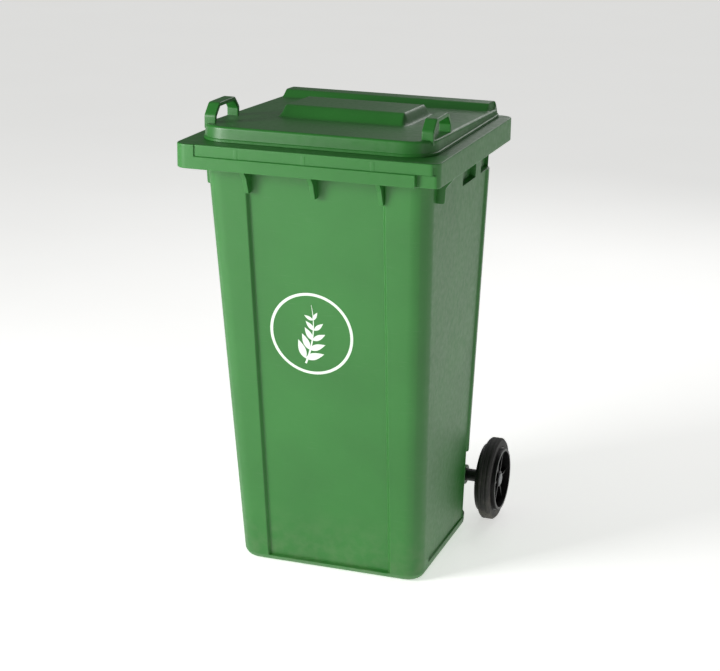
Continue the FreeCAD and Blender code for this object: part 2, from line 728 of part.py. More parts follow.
def make_wheel_hub(doc, name, side):
    """Wheel centre: rim barrel, web, boss, ribs and the tower of the lock pin."""
    seat = "rim_radius - seat_gap"
    inner = "rim_outer_radius - rim_wall"
    bore = "axle_radius + running_gap"
    web_in, web_out = "wheel_middle - web_thickness / 2", "wheel_middle + web_thickness / 2"
    points = [("hub_start", "rim_inner_radius"), ("tyre_start", "rim_inner_radius"), ("tyre_start", seat),
              ("tyre_end", seat), ("tyre_end", "rim_outer_radius"), ("hub_end", "rim_outer_radius"),
              ("hub_end", inner), (web_out, inner), (web_out, "boss_radius"), ("boss_end", "boss_radius"),
              ("boss_end", bore), ("hub_start", bore), ("hub_start", "boss_radius"),
              (web_in, "boss_radius"), (web_in, inner), ("hub_start", inner)]
    piece = turned(doc, f"wheel_hub_{name}", on_side(side, points), "axle_depth", "wheel_radius")
    x0, x1 = mirrored(side, "hub_start + rim_inner_reach / 2", "hub_end - rim_outer_reach")
    piece.box("Rib", (x0, "boss_radius - overlap", "-rib_thickness / 2"),
              (x1, f"{inner} + overlap", "rib_thickness / 2"))
    rib = piece.body.Tip
    spokes = piece.body.newObject("PartDesign::PolarPattern", "Ribs")
    spokes.Originals = [rib]
    spokes.Axis = (next(f for f in piece.body.Origin.OriginFeatures if f.Role == "X_Axis"), [""])
    spokes.Angle = 360
    spokes.Occurrences = HUB_RIBS
    piece.body.Tip = spokes
    across = "lock_at" if side > 0 else "-lock_at"
    piece.post("Tower", across, "0", "boss_radius - tower_root", "tower_radius",
               "tower_top - boss_radius + tower_root")
    piece.post("PinBore", across, "0", "axle_radius - overlap", "lock_radius + running_gap",
               "lock_seat - axle_radius + 2 * overlap", "SubtractiveCylinder")
    piece.post("SpringPocket", across, "0", "lock_seat", "lock_head_radius + seat_gap",
               "spring_low + spring_length + running_gap - lock_seat", "SubtractiveCylinder")


def make_tyre(doc, name, side):
    """Solid rubber tyre with bevelled shoulders and a shallow centre groove."""
    points = [("tyre_start", "rim_radius"), ("tyre_end", "rim_radius"),
              ("tyre_end", "wheel_radius - tyre_shoulder"), ("tyre_end - tyre_shoulder", "wheel_radius"),
              ("tyre_start + tyre_shoulder", "wheel_radius"), ("tyre_start", "wheel_radius - tyre_shoulder")]
    turned(doc, f"tyre_{name}", on_side(side, points), "axle_depth", "wheel_radius")


def make_small_wheel_parts(doc, name, side):
    """Spacer sleeve, thrust washer and hub cap of one wheel."""
    bore = "axle_radius + seat_gap"
    sleeve = [("sleeve_start", bore), ("sleeve_end", bore), ("sleeve_end", "sleeve_radius"),
              ("sleeve_start", "sleeve_radius")]
    turned(doc, f"spacer_sleeve_{name}", on_side(side, sleeve), "axle_depth", "wheel_radius")
    near = "sleeve_end + side_gap"
    washer = [(near, bore), (f"{near} + washer_thickness", bore),
              (f"{near} + washer_thickness", "washer_radius"), (near, "washer_radius")]
    turned(doc, f"thrust_washer_{name}", on_side(side, washer), "axle_depth", "wheel_radius")
    plug = "axle_end + side_gap"
    face = "boss_end + cap_thickness"
    cap = [(plug, "0"), (plug, "cap_plug_radius"), ("boss_end", "cap_plug_radius"),
           ("boss_end", "cap_radius"), (f"{face} - cap_bevel", "cap_radius"),
           (face, "cap_radius - cap_bevel"),
           (face, "0")]
    turned(doc, f"hub_cap_{name}", on_side(side, cap), "axle_depth", "wheel_radius")


def make_lock(doc, name, side):
    """Sprung pin that drops into the axle's groove, and its spring."""
    across = "lock_at" if side > 0 else "-lock_at"
    pin = Piece(doc, f"lock_pin_{name}")
    pin.post("Shank", across, "axle_depth", "wheel_radius + lock_tip", "lock_radius", "lock_length")
    pin.post("Head", across, "axle_depth", "wheel_radius + lock_tip + lock_length - lock_head",
             "lock_head_radius", "lock_head")
    spring = Piece(doc, f"lock_spring_{name}")
    outline = spring.sketch("Wire", "XZ")
    circle = outline.addGeometry(Part.Circle(
        FreeCAD.Vector(value(outline, "spring_radius"), value(outline, "spring_wire / 2"), 0),
        FreeCAD.Vector(0, 0, 1), value(outline, "spring_wire / 2")), False)
    for kind, formula in (("Radius", "spring_wire / 2"), ("DistanceX", "spring_radius"),
                          ("DistanceY", "spring_wire / 2")):
        amount = value(outline, formula)
        number = (outline.addConstraint(Sketcher.Constraint(kind, circle, amount)) if kind == "Radius" else
                  outline.addConstraint(Sketcher.Constraint(kind, circle, 3, amount)))
        outline.setExpression(f"Constraints[{number}]", linked(formula))
    coil = spring.feature("AdditiveHelix", "Coil", Pitch="(spring_length - spring_wire) / spring_turns",
                          Height="spring_length - spring_wire")
    coil.Profile = outline
    coil.ReferenceAxis = (outline, ["V_Axis"])
    coil.Mode = 0
    bind(spring.body, Placement__Base__x=across, Placement__Base__y="axle_depth",
         Placement__Base__z="wheel_radius + spring_low")


def check(doc):
    """Stop when any object failed or any piece has no valid shape."""
    for item in doc.Objects:
        if {"Invalid", "Error"} & set(item.State):
            raise RuntimeError(f"{item.Label}: {item.State}")
    for body in doc.findObjects("PartDesign::Body"):
        if body.Shape.isNull() or not body.Shape.isValid() or len(body.Shape.Solids) != 1:
            raise RuntimeError(f"{body.Label}: not one valid solid")


def main():
    doc = FreeCAD.newDocument("LitterBin")
    make_sheet(doc)
    make_bin_body(doc)
    make_lid(doc)
    make_axle(doc)
    for name, side in SIDES:
        make_hinge_pin(doc, name, side)
        make_wheel_hub(doc, name, side)
        make_tyre(doc, name, side)
        make_small_wheel_parts(doc, name, side)
        make_lock(doc, name, side)
    doc.recompute()
    check(doc)
    os.makedirs("parts", exist_ok=True)
    for body in doc.findObjects("PartDesign::Body"):
        body.Shape.exportStep(f"parts/{body.Label}.step")
        print(f"{body.Label}: {body.Shape.Volume / 1000:.1f} cm3")


main()
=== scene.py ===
"""Two-wheeled litter bin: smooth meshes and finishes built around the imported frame.

Metres. +Z is up, the front faces -Y and +X is the bin's right seen from the front.
Depths are measured backwards from the front face of the lifting collar.
"""

import logging
import math
from dataclasses import dataclass, field
from enum import Enum
from typing import Callable, Iterable, Sequence

import bmesh
import bpy
from mathutils import Matrix, Vector


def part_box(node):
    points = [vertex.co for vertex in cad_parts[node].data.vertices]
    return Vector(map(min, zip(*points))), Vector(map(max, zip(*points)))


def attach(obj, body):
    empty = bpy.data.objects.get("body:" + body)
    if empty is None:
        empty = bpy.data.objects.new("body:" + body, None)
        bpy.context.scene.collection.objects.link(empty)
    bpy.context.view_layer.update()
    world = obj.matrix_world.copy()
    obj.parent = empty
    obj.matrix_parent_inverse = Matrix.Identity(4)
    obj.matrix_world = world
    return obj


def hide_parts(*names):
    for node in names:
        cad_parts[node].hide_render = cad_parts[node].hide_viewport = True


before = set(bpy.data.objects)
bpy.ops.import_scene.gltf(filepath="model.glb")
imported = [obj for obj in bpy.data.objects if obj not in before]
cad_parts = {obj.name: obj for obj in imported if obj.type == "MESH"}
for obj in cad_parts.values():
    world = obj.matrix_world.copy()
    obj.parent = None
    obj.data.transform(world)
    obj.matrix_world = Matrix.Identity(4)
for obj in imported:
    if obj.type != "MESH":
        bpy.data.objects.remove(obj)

LOG = logging.getLogger("litter_bin")
WELD = 2e-6
CREASE = math.radians(38)
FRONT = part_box("bin_body")[0].y
SIDES = {"right": 1, "left": -1}
Loop = list[Vector]
Outline = list[tuple[float, float]]


# ---------------------------------------------------------------- shapes

class Across(Enum):
    """The axis that a plate's thickness, or a turned piece's length, runs along."""

    X = "x"
    Y = "y"
    Z = "z"

    def place(self, along: float, first: float, second: float) -> Vector:
        """Point from a distance along this axis and the two other coordinates in order."""
        if self is Across.X:
            return Vector((along, first, second))
        if self is Across.Y:
            return Vector((first, along, second))
        return Vector((first, second, along))


def centre_of(node: str) -> Vector:
    """Middle of a CAD node's box."""
    low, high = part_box(node)
    return (low + high) / 2


def mix(low: float, high: float, share: float) -> float:
    """Value at a share of the way from low to high."""
    return low + (high - low) * share


def ease(share: float, bend: float = 0.25) -> float:
    """Straight ramp from 0 to 1 whose two ends are rounded over a share of its length.

    Args:
        share: how far along the ramp, less than 0 before it and more than 1 after it.
        bend: share of the ramp that each rounded end takes.

    Returns:
        Height of the ramp, from 0 to 1.
    """
    share = min(max(share, 0.0), 1.0)
    if share < bend:
        return share * share / (2 * bend * (1 - bend))
    if share > 1 - bend:
        return 1 - (1 - share) ** 2 / (2 * bend * (1 - bend))
    return (share - bend / 2) / (1 - bend)


def rise_and_fall(value: float, low: float, high: float, width: float) -> float:
    """1 between low and high, falling to 0 over a width outside neither of them."""
    return ease((value - low) / width) * ease((high - value) / width)


def ramp_lines(at: float, width: float, count: int = 6) -> list[float]:
    """Grid lines that follow a rounded ramp, with one spare line beyond each end."""
    return [at + width * step / count for step in range(-1, count + 2)]


def grid_lines(marks: Iterable[float], step: float) -> list[float]:
    """Sorted lines through all the marks, with more between them so no gap passes a step.

    Args:
        marks: places that a line has to pass through.
        step: widest gap left between two lines.

    Returns:
        The lines, lowest first.
    """
    spots = sorted(marks)
    kept = [spots[0]]
    for spot in spots[1:]:
        if spot - kept[-1] > 1e-4:
            kept.append(spot)
    lines = [kept[0]]
    for spot in kept[1:]:
        pieces = math.ceil((spot - lines[-1]) / step)
        start = lines[-1]
        lines += [mix(start, spot, share / pieces) for share in range(1, pieces + 1)]
    return lines


def soften(corners: Outline, radius: float, steps: int = 3) -> Outline:
    """Round the corners of a closed outline, leaving those that lie on a turning axis.

    Args:
        corners: (along, height) corners in order.
        radius: radius wanted; a short edge takes a smaller one.
        steps: straight pieces in each rounded corner.

    Returns:
        The corners of the rounded outline.
    """
    out: Outline = []
    for index, corner in enumerate(corners):
        here = Vector(corner)
        before = Vector(corners[index - 1]) - here
        after = Vector(corners[(index + 1) % len(corners)]) - here
        turn = before.angle(after) if before.length and after.length else math.pi
        if corner[1] <= WELD or turn > math.radians(170):
            out.append(corner)
            continue
        reach = min(radius / math.tan(turn / 2), 0.45 * before.length, 0.45 * after.length)
        start, end = here + before.normalized() * reach, here + after.normalized() * reach
        bend = reach * math.tan(turn / 2)
        middle = here + (before.normalized() + after.normalized()).normalized() * bend / math.sin(turn / 2)
        first, last = start - middle, end - middle
        swing = first.angle_signed(last)
        for step in range(steps + 1):
            angle = -swing * step / steps
            spot = middle + Matrix.Rotation(angle, 2) @ first
            out.append((spot.x, spot.y))
    return out


def add_loop(bm: bmesh.types.BMesh, loop: Loop) -> list[bmesh.types.BMVert]:
    """Add one loop's points."""
    return [bm.verts.new(point) for point in loop]


def join(bm: bmesh.types.BMesh, first: Sequence, second: Sequence, closed: bool = True) -> None:
    """Fill the strip between two rows of points with quads."""
    count = len(first)
    for index in range(count if closed else count - 1):
        after = (index + 1) % count
        bm.faces.new((first[index], first[after], second[after], second[index]))


def loft(bm: bmesh.types.BMesh, loops: Sequence[Loop], caps: bool = True, ring: bool = False) -> None:
    """Skin over loops of equal length.

    Args:
        bm: mesh that takes the skin.
        loops: the loops in order.
        caps: close the first and the last loop with a face.
        ring: join the last loop to the first instead.
    """
    rows = [add_loop(bm, loop) for loop in loops]
    for lower, upper in zip(rows, rows[1:]):
        join(bm, lower, upper)
    if ring:
        join(bm, rows[-1], rows[0])
    elif caps:
        bm.faces.new(rows[0][::-1])
        bm.faces.new(rows[-1])


def lathe(bm: bmesh.types.BMesh, profile: Outline, axis: Across, first: float, second: float,
          segments: int = 64) -> None:
    """Turn a closed (along, radius) profile about an axis through a point.

    Args:
        bm: mesh that takes the piece.
        profile: outline in order, either around a bore or starting and ending on the axis.
        axis: direction of the turning axis.
        first: first other coordinate of the axis.
        second: second other coordinate of the axis.
        segments: facets around.
    """
    solid = profile[0][1] <= WELD and profile[-1][1] <= WELD
    loops = []
    for along, radius in profile:
        turns = (2 * math.pi * step / segments for step in range(segments))
        loops.append([axis.place(along, first + radius * math.cos(turn), second + radius * math.sin(turn))
                      for turn in turns])
    loft(bm, loops, caps=False, ring=not solid)


def plate(bm: bmesh.types.BMesh, outline: Outline, start: float, end: float, axis: Across,
          edge: float) -> None:
    """Flat piece with rounded rims: an outline given a thickness.

    Args:
        bm: mesh that takes the plate.
        outline: the two coordinates other than the thickness's, in order.
        start: where the thickness begins.
        end: where it ends.
        axis: axis of the thickness.
        edge: size of the rounded rim.
    """
    rows = [add_loop(bm, [axis.place(along, u, v) for u, v in outline]) for along in (start, end)]
    join(bm, rows[0], rows[1])
    caps = [bm.faces.new(rows[0][::-1]), bm.faces.new(rows[1])]
    rim = {seam for cap in caps for seam in cap.edges}
    bmesh.ops.bevel(bm, geom=list(rim), offset=edge, segments=2, profile=0.5, affect="EDGES",
                    clamp_overlap=True)


def bake(obj: bpy.types.Object) -> bpy.types.Object:
    """Turn what an object's modifiers make into its own plain mesh."""
    seen = obj.evaluated_get(bpy.context.evaluated_depsgraph_get())
    mesh = bpy.data.meshes.new_from_object(seen)
    mesh.name = obj.name
    if obj.type == "MESH":
        obj.modifiers.clear()
        obj.data = mesh
        return obj
    made = bpy.data.objects.new(obj.name + "_mesh", mesh)
    bpy.context.scene.collection.objects.link(made)
    bpy.data.objects.remove(obj)
    return made


def shade(obj: bpy.types.Object) -> bpy.types.Object:
    """Smooth a mesh, keep its real edges sharp and weight its normals to the large faces."""
    obj.data.shade_smooth()
    obj.data.set_sharp_from_angle(angle=CREASE)
    even = obj.modifiers.new("EvenNormals", "WEIGHTED_NORMAL")
    even.keep_sharp = True
    return bake(obj)


def solid(name: str, bm: bmesh.types.BMesh, finish: bpy.types.Material) -> bpy.types.Object:
    """Weld a mesh, point its faces outwards and make it a shaded object.

    Args:
        name: name of the piece.
        bm: its mesh, which this frees.
        finish: its material.

    Returns:
        The new object.
    """
    bmesh.ops.remove_doubles(bm, verts=bm.verts, dist=WELD)
    bmesh.ops.dissolve_degenerate(bm, dist=WELD, edges=bm.edges)
    bmesh.ops.recalc_face_normals(bm, faces=bm.faces)
    mesh = bpy.data.meshes.new(name)
    bm.to_mesh(mesh)
    bm.free()
    mesh.materials.append(finish)
    obj = bpy.data.objects.new(name, mesh)
    bpy.context.scene.collection.objects.link(obj)
    return shade(obj)


def deliver(obj: bpy.types.Object, body: str, slot: str, *nodes: str) -> None:
    """Hand a finished piece to its body, and hide the CAD nodes it stands for."""
    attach(obj, body)
    if nodes:
        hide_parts(*nodes)
    LOG.info("%s: %d faces on %s", obj.name, len(obj.data.polygons), body)


# ---------------------------------------------------------------- finishes

def linear(colour: str) -> tuple[float, float, float, float]:
    """Linear RGBA of an sRGB colour written as #rrggbb."""
    parts = [int(colour[start:start + 2], 16) / 255 for start in (1, 3, 5)]
    straight = [part / 12.92 if part <= 0.04045 else ((part + 0.055) / 1.055) ** 2.4 for part in parts]
    return (*straight, 1.0)


def add_node(tree: bpy.types.NodeTree, kind: str, inputs: dict | None = None, **settings) -> bpy.types.Node:
    """Add a node to a tree.

    Args:
        tree: shader or geometry tree.
        kind: the node's type name.
        inputs: input names or numbers with the value or the socket each one takes.
        settings: properties of the node.

    Returns:
        The node.
    """
    node = tree.nodes.new(kind)
    for name, value in settings.items():
        setattr(node, name, value)
    for key, value in (inputs or {}).items():
        if isinstance(value, bpy.types.NodeSocket):
            tree.links.new(value, node.inputs[key])
        else:
            node.inputs[key].default_value = value
    return node


class Finish:
    """What every material shares: an empty tree with a Principled shader at its end."""

    def start(self, name: str) -> tuple[bpy.types.NodeTree, bpy.types.Node, bpy.types.NodeSocket]:
        """Make a material.

        Args:
            name: its name.

        Returns:
            Its tree, its Principled shader and the Object coordinates.
        """
        material = bpy.data.materials.new(name)
        material.use_nodes = True
        tree = material.node_tree
        tree.nodes.clear()
        shader = add_node(tree, "ShaderNodeBsdfPrincipled")
        add_node(tree, "ShaderNodeOutputMaterial", {"Surface": shader.outputs["BSDF"]})
        self.material = material
        return tree, shader, add_node(tree, "ShaderNodeTexCoord").outputs["Object"]

    def noise(self, tree: bpy.types.NodeTree, place: bpy.types.NodeSocket, size: float,
              detail: float = 3.0) -> bpy.types.NodeSocket:
        """Noise whose lumps have a real size in metres."""
        node = add_node(tree, "ShaderNodeTexNoise", {"Vector": place, "Scale": 1 / size, "Detail": detail})
        return node.outputs["Fac"]

    def blend(self, tree: bpy.types.NodeTree, share: bpy.types.NodeSocket, first: object,
              second: object) -> bpy.types.NodeSocket:
        """Mix two colours by a share."""
        node = add_node(tree, "ShaderNodeMix", {0: share, 6: first, 7: second}, data_type="RGBA")
        return node.outputs[2]

    def stretch(self, tree: bpy.types.NodeTree, value: bpy.types.NodeSocket, low: float, high: float,
                first: float, second: float) -> bpy.types.NodeSocket:
        """Carry a value from one range to another."""
        node = add_node(tree, "ShaderNodeMapRange", {"Value": value, "From Min": low, "From Max": high,
                                                     "To Min": first, "To Max": second})
        return node.outputs["Result"]


class MouldedPlastic(Finish):
    """Injection-moulded polyethylene, polypropylene or rubber.

    The eye sees a satin skin with an eroded mould texture, faint flow clouds, hairline scuffs
    from handling and a little dust near the ground.
    """

    def __init__(self, name: str, colour: str, cloud: str, roughness: float, ior: float,
                 grain: float, relief: float, scuffs: float = 0.0, dust: float = 0.0) -> None:
        """Make the material.

        Args:
            name: its name.
            colour: main colour.
            cloud: colour of the flow clouds.
            roughness: middle roughness.
            ior: index of refraction.
            grain: size of the mould texture in metres.
            relief: height of the mould texture in metres.
            scuffs: strength of the hairline scuffs.
            dust: strength of the dust near the ground.
        """
        tree, shader, place = self.start(name)
        clouds = self.stretch(tree, self.noise(tree, place, 0.19), 0.35, 0.65, 0.0, 1.0)
        tint = self.blend(tree, clouds, linear(cloud), linear(colour))
        along = add_node(tree, "ShaderNodeMapping", {"Vector": place, "Scale": (1.0, 1.0, 14.0)})
        hairs = self.stretch(tree, self.noise(tree, along.outputs["Vector"], 0.045, 6.0),
                             0.63, 0.72, 0.0, scuffs)
        tint = self.blend(tree, hairs, tint, linear("#b9c4b4"))
        height = add_node(tree, "ShaderNodeSeparateXYZ", {"Vector": place}).outputs["Z"]
        low = self.stretch(tree, height, 0.0, 0.16, dust, 0.0)
        patches = self.stretch(tree, self.noise(tree, place, 0.03, 5.0), 0.4, 0.7, 0.0, 1.0)
        film = add_node(tree, "ShaderNodeMath", {0: low, 1: patches}, operation="MULTIPLY").outputs[0]
        tint = self.blend(tree, film, tint, linear("#a79f8c"))
        tree.links.new(tint, shader.inputs["Base Color"])
        gloss = self.stretch(tree, self.noise(tree, place, 0.012, 4.0), 0.3, 0.7,
                             roughness - 0.05, roughness + 0.06)
        tree.links.new(gloss, shader.inputs["Roughness"])
        shader.inputs["IOR"].default_value = ior
        skin = add_node(tree, "ShaderNodeBump", {"Height": self.noise(tree, place, grain, 2.0),
                                                 "Distance": relief, "Strength": 0.6})
        tree.links.new(skin.outputs["Normal"], shader.inputs["Normal"])


class Steel(Finish):
    """Bare, galvanised or spring steel; zinc shows soft crystal patches and drawn wire a fine grain."""

    def __init__(self, name: str, bright: str, dull: str, roughness: float, patch: float) -> None:
        """Make the material.

        Args:
            name: its name.
            bright: colour of the bright patches.
            dull: colour of the dull patches.
            roughness: middle roughness.
            patch: size of the patches in metres.
        """
        tree, shader, place = self.start(name)
        cells = add_node(tree, "ShaderNodeTexVoronoi", {"Vector": place, "Scale": 1 / patch})
        share = self.stretch(tree, cells.outputs["Color"], 0.1, 0.9, 0.0, 1.0)
        tree.links.new(self.blend(tree, share, linear(dull), linear(bright)), shader.inputs["Base Color"])
        tree.links.new(self.stretch(tree, share, 0.0, 1.0, roughness + 0.08, roughness - 0.06),
                       shader.inputs["Roughness"])
        shader.inputs["Metallic"].default_value = 1.0
        skin = add_node(tree, "ShaderNodeBump", {"Height": self.noise(tree, place, patch / 8),
                                                 "Distance": 0.00004, "Strength": 0.4})
        tree.links.new(skin.outputs["Normal"], shader.inputs["Normal"])


class PrintedInk(Finish):
    """Screen-printed ink: flat and chalky, with pinholes where it missed the mould texture."""

    def __init__(self, name: str, colour: str, ground: str) -> None:
        """Make the material from the ink's colour and that of the plastic under it."""
        tree, shader, place = self.start(name)
        holes = self.stretch(tree, self.noise(tree, place, 0.0012, 4.0), 0.66, 0.74, 0.0, 0.5)
        tree.links.new(self.blend(tree, holes, linear(colour), linear(ground)), shader.inputs["Base Color"])
        shader.inputs["Roughness"].default_value = 0.5
        shader.inputs["IOR"].default_value = 1.5


class StudioPaper(Finish):
    """Pale matt studio sweep."""

    def __init__(self, name: str, colour: str, glow: float) -> None:
        """Make the material, with a faint glow that keeps the sweep pale."""
        tree, shader, place = self.start(name)
        tone = self.blend(tree, self.noise(tree, place, 0.6), linear(colour), linear("#ffffff"))
        tree.links.new(tone, shader.inputs["Base Color"])
        shader.inputs["Roughness"].default_value = 0.9
        shader.inputs["Emission Color"].default_value = linear(colour)
        shader.inputs["Emission Strength"].default_value = glow


@dataclass
class Finishes:
    """Every finish of the bin, made once."""

    # high-density polyethylene, injection moulded in a textured tool
    tub: bpy.types.Material = field(default_factory=lambda: MouldedPlastic(
        "tub_hdpe_moulded", "#2b772b", "#277027", 0.42, 1.54, 0.0011, 0.00006, 0.02, 0.12).material)
    lid: bpy.types.Material = field(default_factory=lambda: MouldedPlastic(
        "lid_hdpe_moulded", "#2b772b", "#277027", 0.38, 1.54, 0.0011, 0.00005, 0.02).material)
    # polypropylene, black, straight from the mould
    hub: bpy.types.Material = field(default_factory=lambda: MouldedPlastic(
        "hub_polypropylene_moulded", "#0c0c0d", "#101011", 0.38, 1.49, 0.0009, 0.00004, 0.03).material)
    # solid rubber, vulcanised in a mould, dull
    tyre: bpy.types.Material = field(default_factory=lambda: MouldedPlastic(
        "tyre_rubber_moulded", "#262626", "#2c2b2a", 0.66, 1.52, 0.0014, 0.00012, 0.04, 0.25).material)
    sleeve: bpy.types.Material = field(default_factory=lambda: MouldedPlastic(
        "sleeve_nylon_moulded", "#151516", "#19191a", 0.45, 1.53, 0.0009, 0.00004).material)
    cap: bpy.types.Material = field(default_factory=lambda: MouldedPlastic(
        "cap_polypropylene_moulded", "#8d8f90", "#85888a", 0.40, 1.49, 0.0008, 0.00003).material)
    pin: bpy.types.Material = field(default_factory=lambda: MouldedPlastic(
        "hinge_pin_nylon_moulded", "#1a1b1a", "#202120", 0.42, 1.53, 0.0008, 0.00003).material)
    # hot-dip zinc, and plain turned and coiled steel
    axle: bpy.types.Material = field(default_factory=lambda: Steel(
        "axle_steel_galvanised", "#b9bcbe", "#9da2a6", 0.38, 0.006).material)
    washer: bpy.types.Material = field(default_factory=lambda: Steel(
        "washer_steel_plated", "#c2c2be", "#aeb0ae", 0.32, 0.002).material)
    lock: bpy.types.Material = field(default_factory=lambda: Steel(
        "lock_pin_steel_turned", "#a9aaab", "#96989a", 0.30, 0.001).material)
    spring: bpy.types.Material = field(default_factory=lambda: Steel(
        "spring_steel_coiled", "#8f9193", "#7d8082", 0.34, 0.0008).material)
    ink: bpy.types.Material = field(default_factory=lambda: PrintedInk(
        "emblem_ink_printed", "#e6f4e4", "#2b772b").material)


# ---------------------------------------------------------------- copies by geometry nodes

def copies_tree(finish: bpy.types.Material) -> bpy.types.NodeTree:
    """Build a tree that repeats its geometry along X.

    Args:
        finish: material of the copies.

    Returns:
        A tree with the inputs Count, Spacing and Centre.
    """
    tree = bpy.data.node_groups.new("copies_line", "GeometryNodeTree")
    face = tree.interface
    face.new_socket("Geometry", in_out="INPUT", socket_type="NodeSocketGeometry")
    face.new_socket("Count", in_out="INPUT", socket_type="NodeSocketInt")
    face.new_socket("Spacing", in_out="INPUT", socket_type="NodeSocketFloat")
    face.new_socket("Centre", in_out="INPUT", socket_type="NodeSocketVector")
    face.new_socket("Geometry", in_out="OUTPUT", socket_type="NodeSocketGeometry")
    given = add_node(tree, "NodeGroupInput").outputs
    step = add_node(tree, "ShaderNodeCombineXYZ", {"X": given["Spacing"]})
    line = add_node(tree, "GeometryNodeMeshLine",
                    {"Count": given["Count"], "Offset": step.outputs["Vector"]}, mode="OFFSET")
    copies = add_node(tree, "GeometryNodeInstanceOnPoints",
                      {"Points": line.outputs["Mesh"], "Instance": given["Geometry"]})
    moved = add_node(tree, "GeometryNodeTransform", {"Geometry": copies.outputs["Instances"],
                                                     "Translation": given["Centre"]})
    real = add_node(tree, "GeometryNodeRealizeInstances", {"Geometry": moved.outputs["Geometry"]})
    dressed = add_node(tree, "GeometryNodeSetMaterial", {"Geometry": real.outputs["Geometry"],
                                                         "Material": finish})
    add_node(tree, "NodeGroupOutput", {0: dressed.outputs["Geometry"]})
    return tree


def strap_tree(finish: bpy.types.Material) -> bpy.types.NodeTree:
    """Build a tree that sweeps a rounded strap along a curve.

    Args:
        finish: material of the strap.

    Returns:
        A tree with the inputs Width, Thickness, Edge and Bend.
    """
    tree = bpy.data.node_groups.new("strap", "GeometryNodeTree")
    face = tree.interface
    face.new_socket("Geometry", in_out="INPUT", socket_type="NodeSocketGeometry")
    for name in ("Width", "Thickness", "Edge", "Bend"):
        face.new_socket(name, in_out="INPUT", socket_type="NodeSocketFloat")
    face.new_socket("Geometry", in_out="OUTPUT", socket_type="NodeSocketGeometry")
    given = add_node(tree, "NodeGroupInput").outputs
    path = add_node(tree, "GeometryNodeFilletCurve", {"Curve": given["Geometry"], "Radius": given["Bend"],
                                                      "Count": 6}, mode="POLY")
    section = add_node(tree, "GeometryNodeCurvePrimitiveQuadrilateral",
                       {"Width": given["Width"], "Height": given["Thickness"]})
    rounded = add_node(tree, "GeometryNodeFilletCurve", {"Curve": section.outputs["Curve"],
                                                         "Radius": given["Edge"], "Count": 3}, mode="POLY")
    swept = add_node(tree, "GeometryNodeCurveToMesh", {"Curve": path.outputs["Curve"],
                                                       "Profile Curve": rounded.outputs["Curve"],
                                                       "Fill Caps": True})
    real = add_node(tree, "GeometryNodeRealizeInstances", {"Geometry": swept.outputs["Mesh"]})
    dressed = add_node(tree, "GeometryNodeSetMaterial", {"Geometry": real.outputs["Geometry"],
                                                         "Material": finish})
    add_node(tree, "NodeGroupOutput", {0: dressed.outputs["Geometry"]})
    return tree


def sprig_tree(finish: bpy.types.Material) -> bpy.types.NodeTree:
    """Build a tree that sets a piece, such as a leaf, in pairs along a bowed stem.

    Args:
        finish: material of the leaves.

    Returns:
        A tree with the inputs Pairs, Foot, Bow, Tip, Splay and Shrink.
    """
    tree = bpy.data.node_groups.new("sprig", "GeometryNodeTree")
    face = tree.interface
    face.new_socket("Geometry", in_out="INPUT", socket_type="NodeSocketGeometry")
    face.new_socket("Pairs", in_out="INPUT", socket_type="NodeSocketInt")
    for name in ("Foot", "Bow", "Tip"):
        face.new_socket(name, in_out="INPUT", socket_type="NodeSocketVector")
    for name in ("Splay", "Shrink"):
        face.new_socket(name, in_out="INPUT", socket_type="NodeSocketFloat")
    face.new_socket("Geometry", in_out="OUTPUT", socket_type="NodeSocketGeometry")
    given = add_node(tree, "NodeGroupInput").outputs
    stem = add_node(tree, "GeometryNodeCurveQuadraticBezier",
                    {"Resolution": 32, "Start": given["Foot"], "Middle": given["Bow"], "End": given["Tip"]})
    spots = add_node(tree, "GeometryNodeCurveToPoints", {"Curve": stem.outputs["Curve"],
                                                         "Count": given["Pairs"]}, mode="COUNT")
    index = add_node(tree, "GeometryNodeInputIndex").outputs[0]
    less = add_node(tree, "ShaderNodeMath", {0: index, 1: given["Shrink"]}, operation="MULTIPLY")
    size = add_node(tree, "ShaderNodeMath", {0: 1.0, 1: less.outputs[0]}, operation="SUBTRACT")
    lean = add_node(tree, "FunctionNodeAlignRotationToVector",
                    {"Vector": spots.outputs["Tangent"]}, axis="Z", pivot_axis="Y")
    halves = []
    for way in (1.0, -1.0):
        angle = add_node(tree, "ShaderNodeMath", {0: given["Splay"], 1: way}, operation="MULTIPLY")
        twist = add_node(tree, "ShaderNodeCombineXYZ", {"Y": angle.outputs[0]})
        spin = add_node(tree, "FunctionNodeEulerToRotation", {0: twist.outputs["Vector"]})
        turned = add_node(tree, "FunctionNodeRotateRotation",
                          {"Rotation": lean.outputs["Rotation"], "Rotate By": spin.outputs[0]},
                          rotation_space="LOCAL")
        half = add_node(tree, "GeometryNodeInstanceOnPoints",
                        {"Points": spots.outputs["Points"], "Instance": given["Geometry"],
                         "Rotation": turned.outputs["Rotation"], "Scale": size.outputs[0]})
        halves.append(half.outputs["Instances"])
    both = add_node(tree, "GeometryNodeJoinGeometry")
    for half in halves:
        tree.links.new(half, both.inputs[0])
    real = add_node(tree, "GeometryNodeRealizeInstances", {"Geometry": both.outputs[0]})
    dressed = add_node(tree, "GeometryNodeSetMaterial", {"Geometry": real.outputs["Geometry"],
                                                         "Material": finish})
    add_node(tree, "NodeGroupOutput", {0: dressed.outputs["Geometry"]})
    return tree


def grow(obj: bpy.types.Object, tree: bpy.types.NodeTree, **inputs) -> bpy.types.Object:
    """Run a tree on an object with the named inputs and keep the mesh it makes."""
    modifier = obj.modifiers.new("Grow", "NODES")
    modifier.node_group = tree
    for item in tree.interface.items_tree:
        if item.in_out == "INPUT" and item.name in inputs:
            modifier[item.identifier] = inputs[item.name]
    return bake(obj)


# ---------------------------------------------------------------- tub and collar

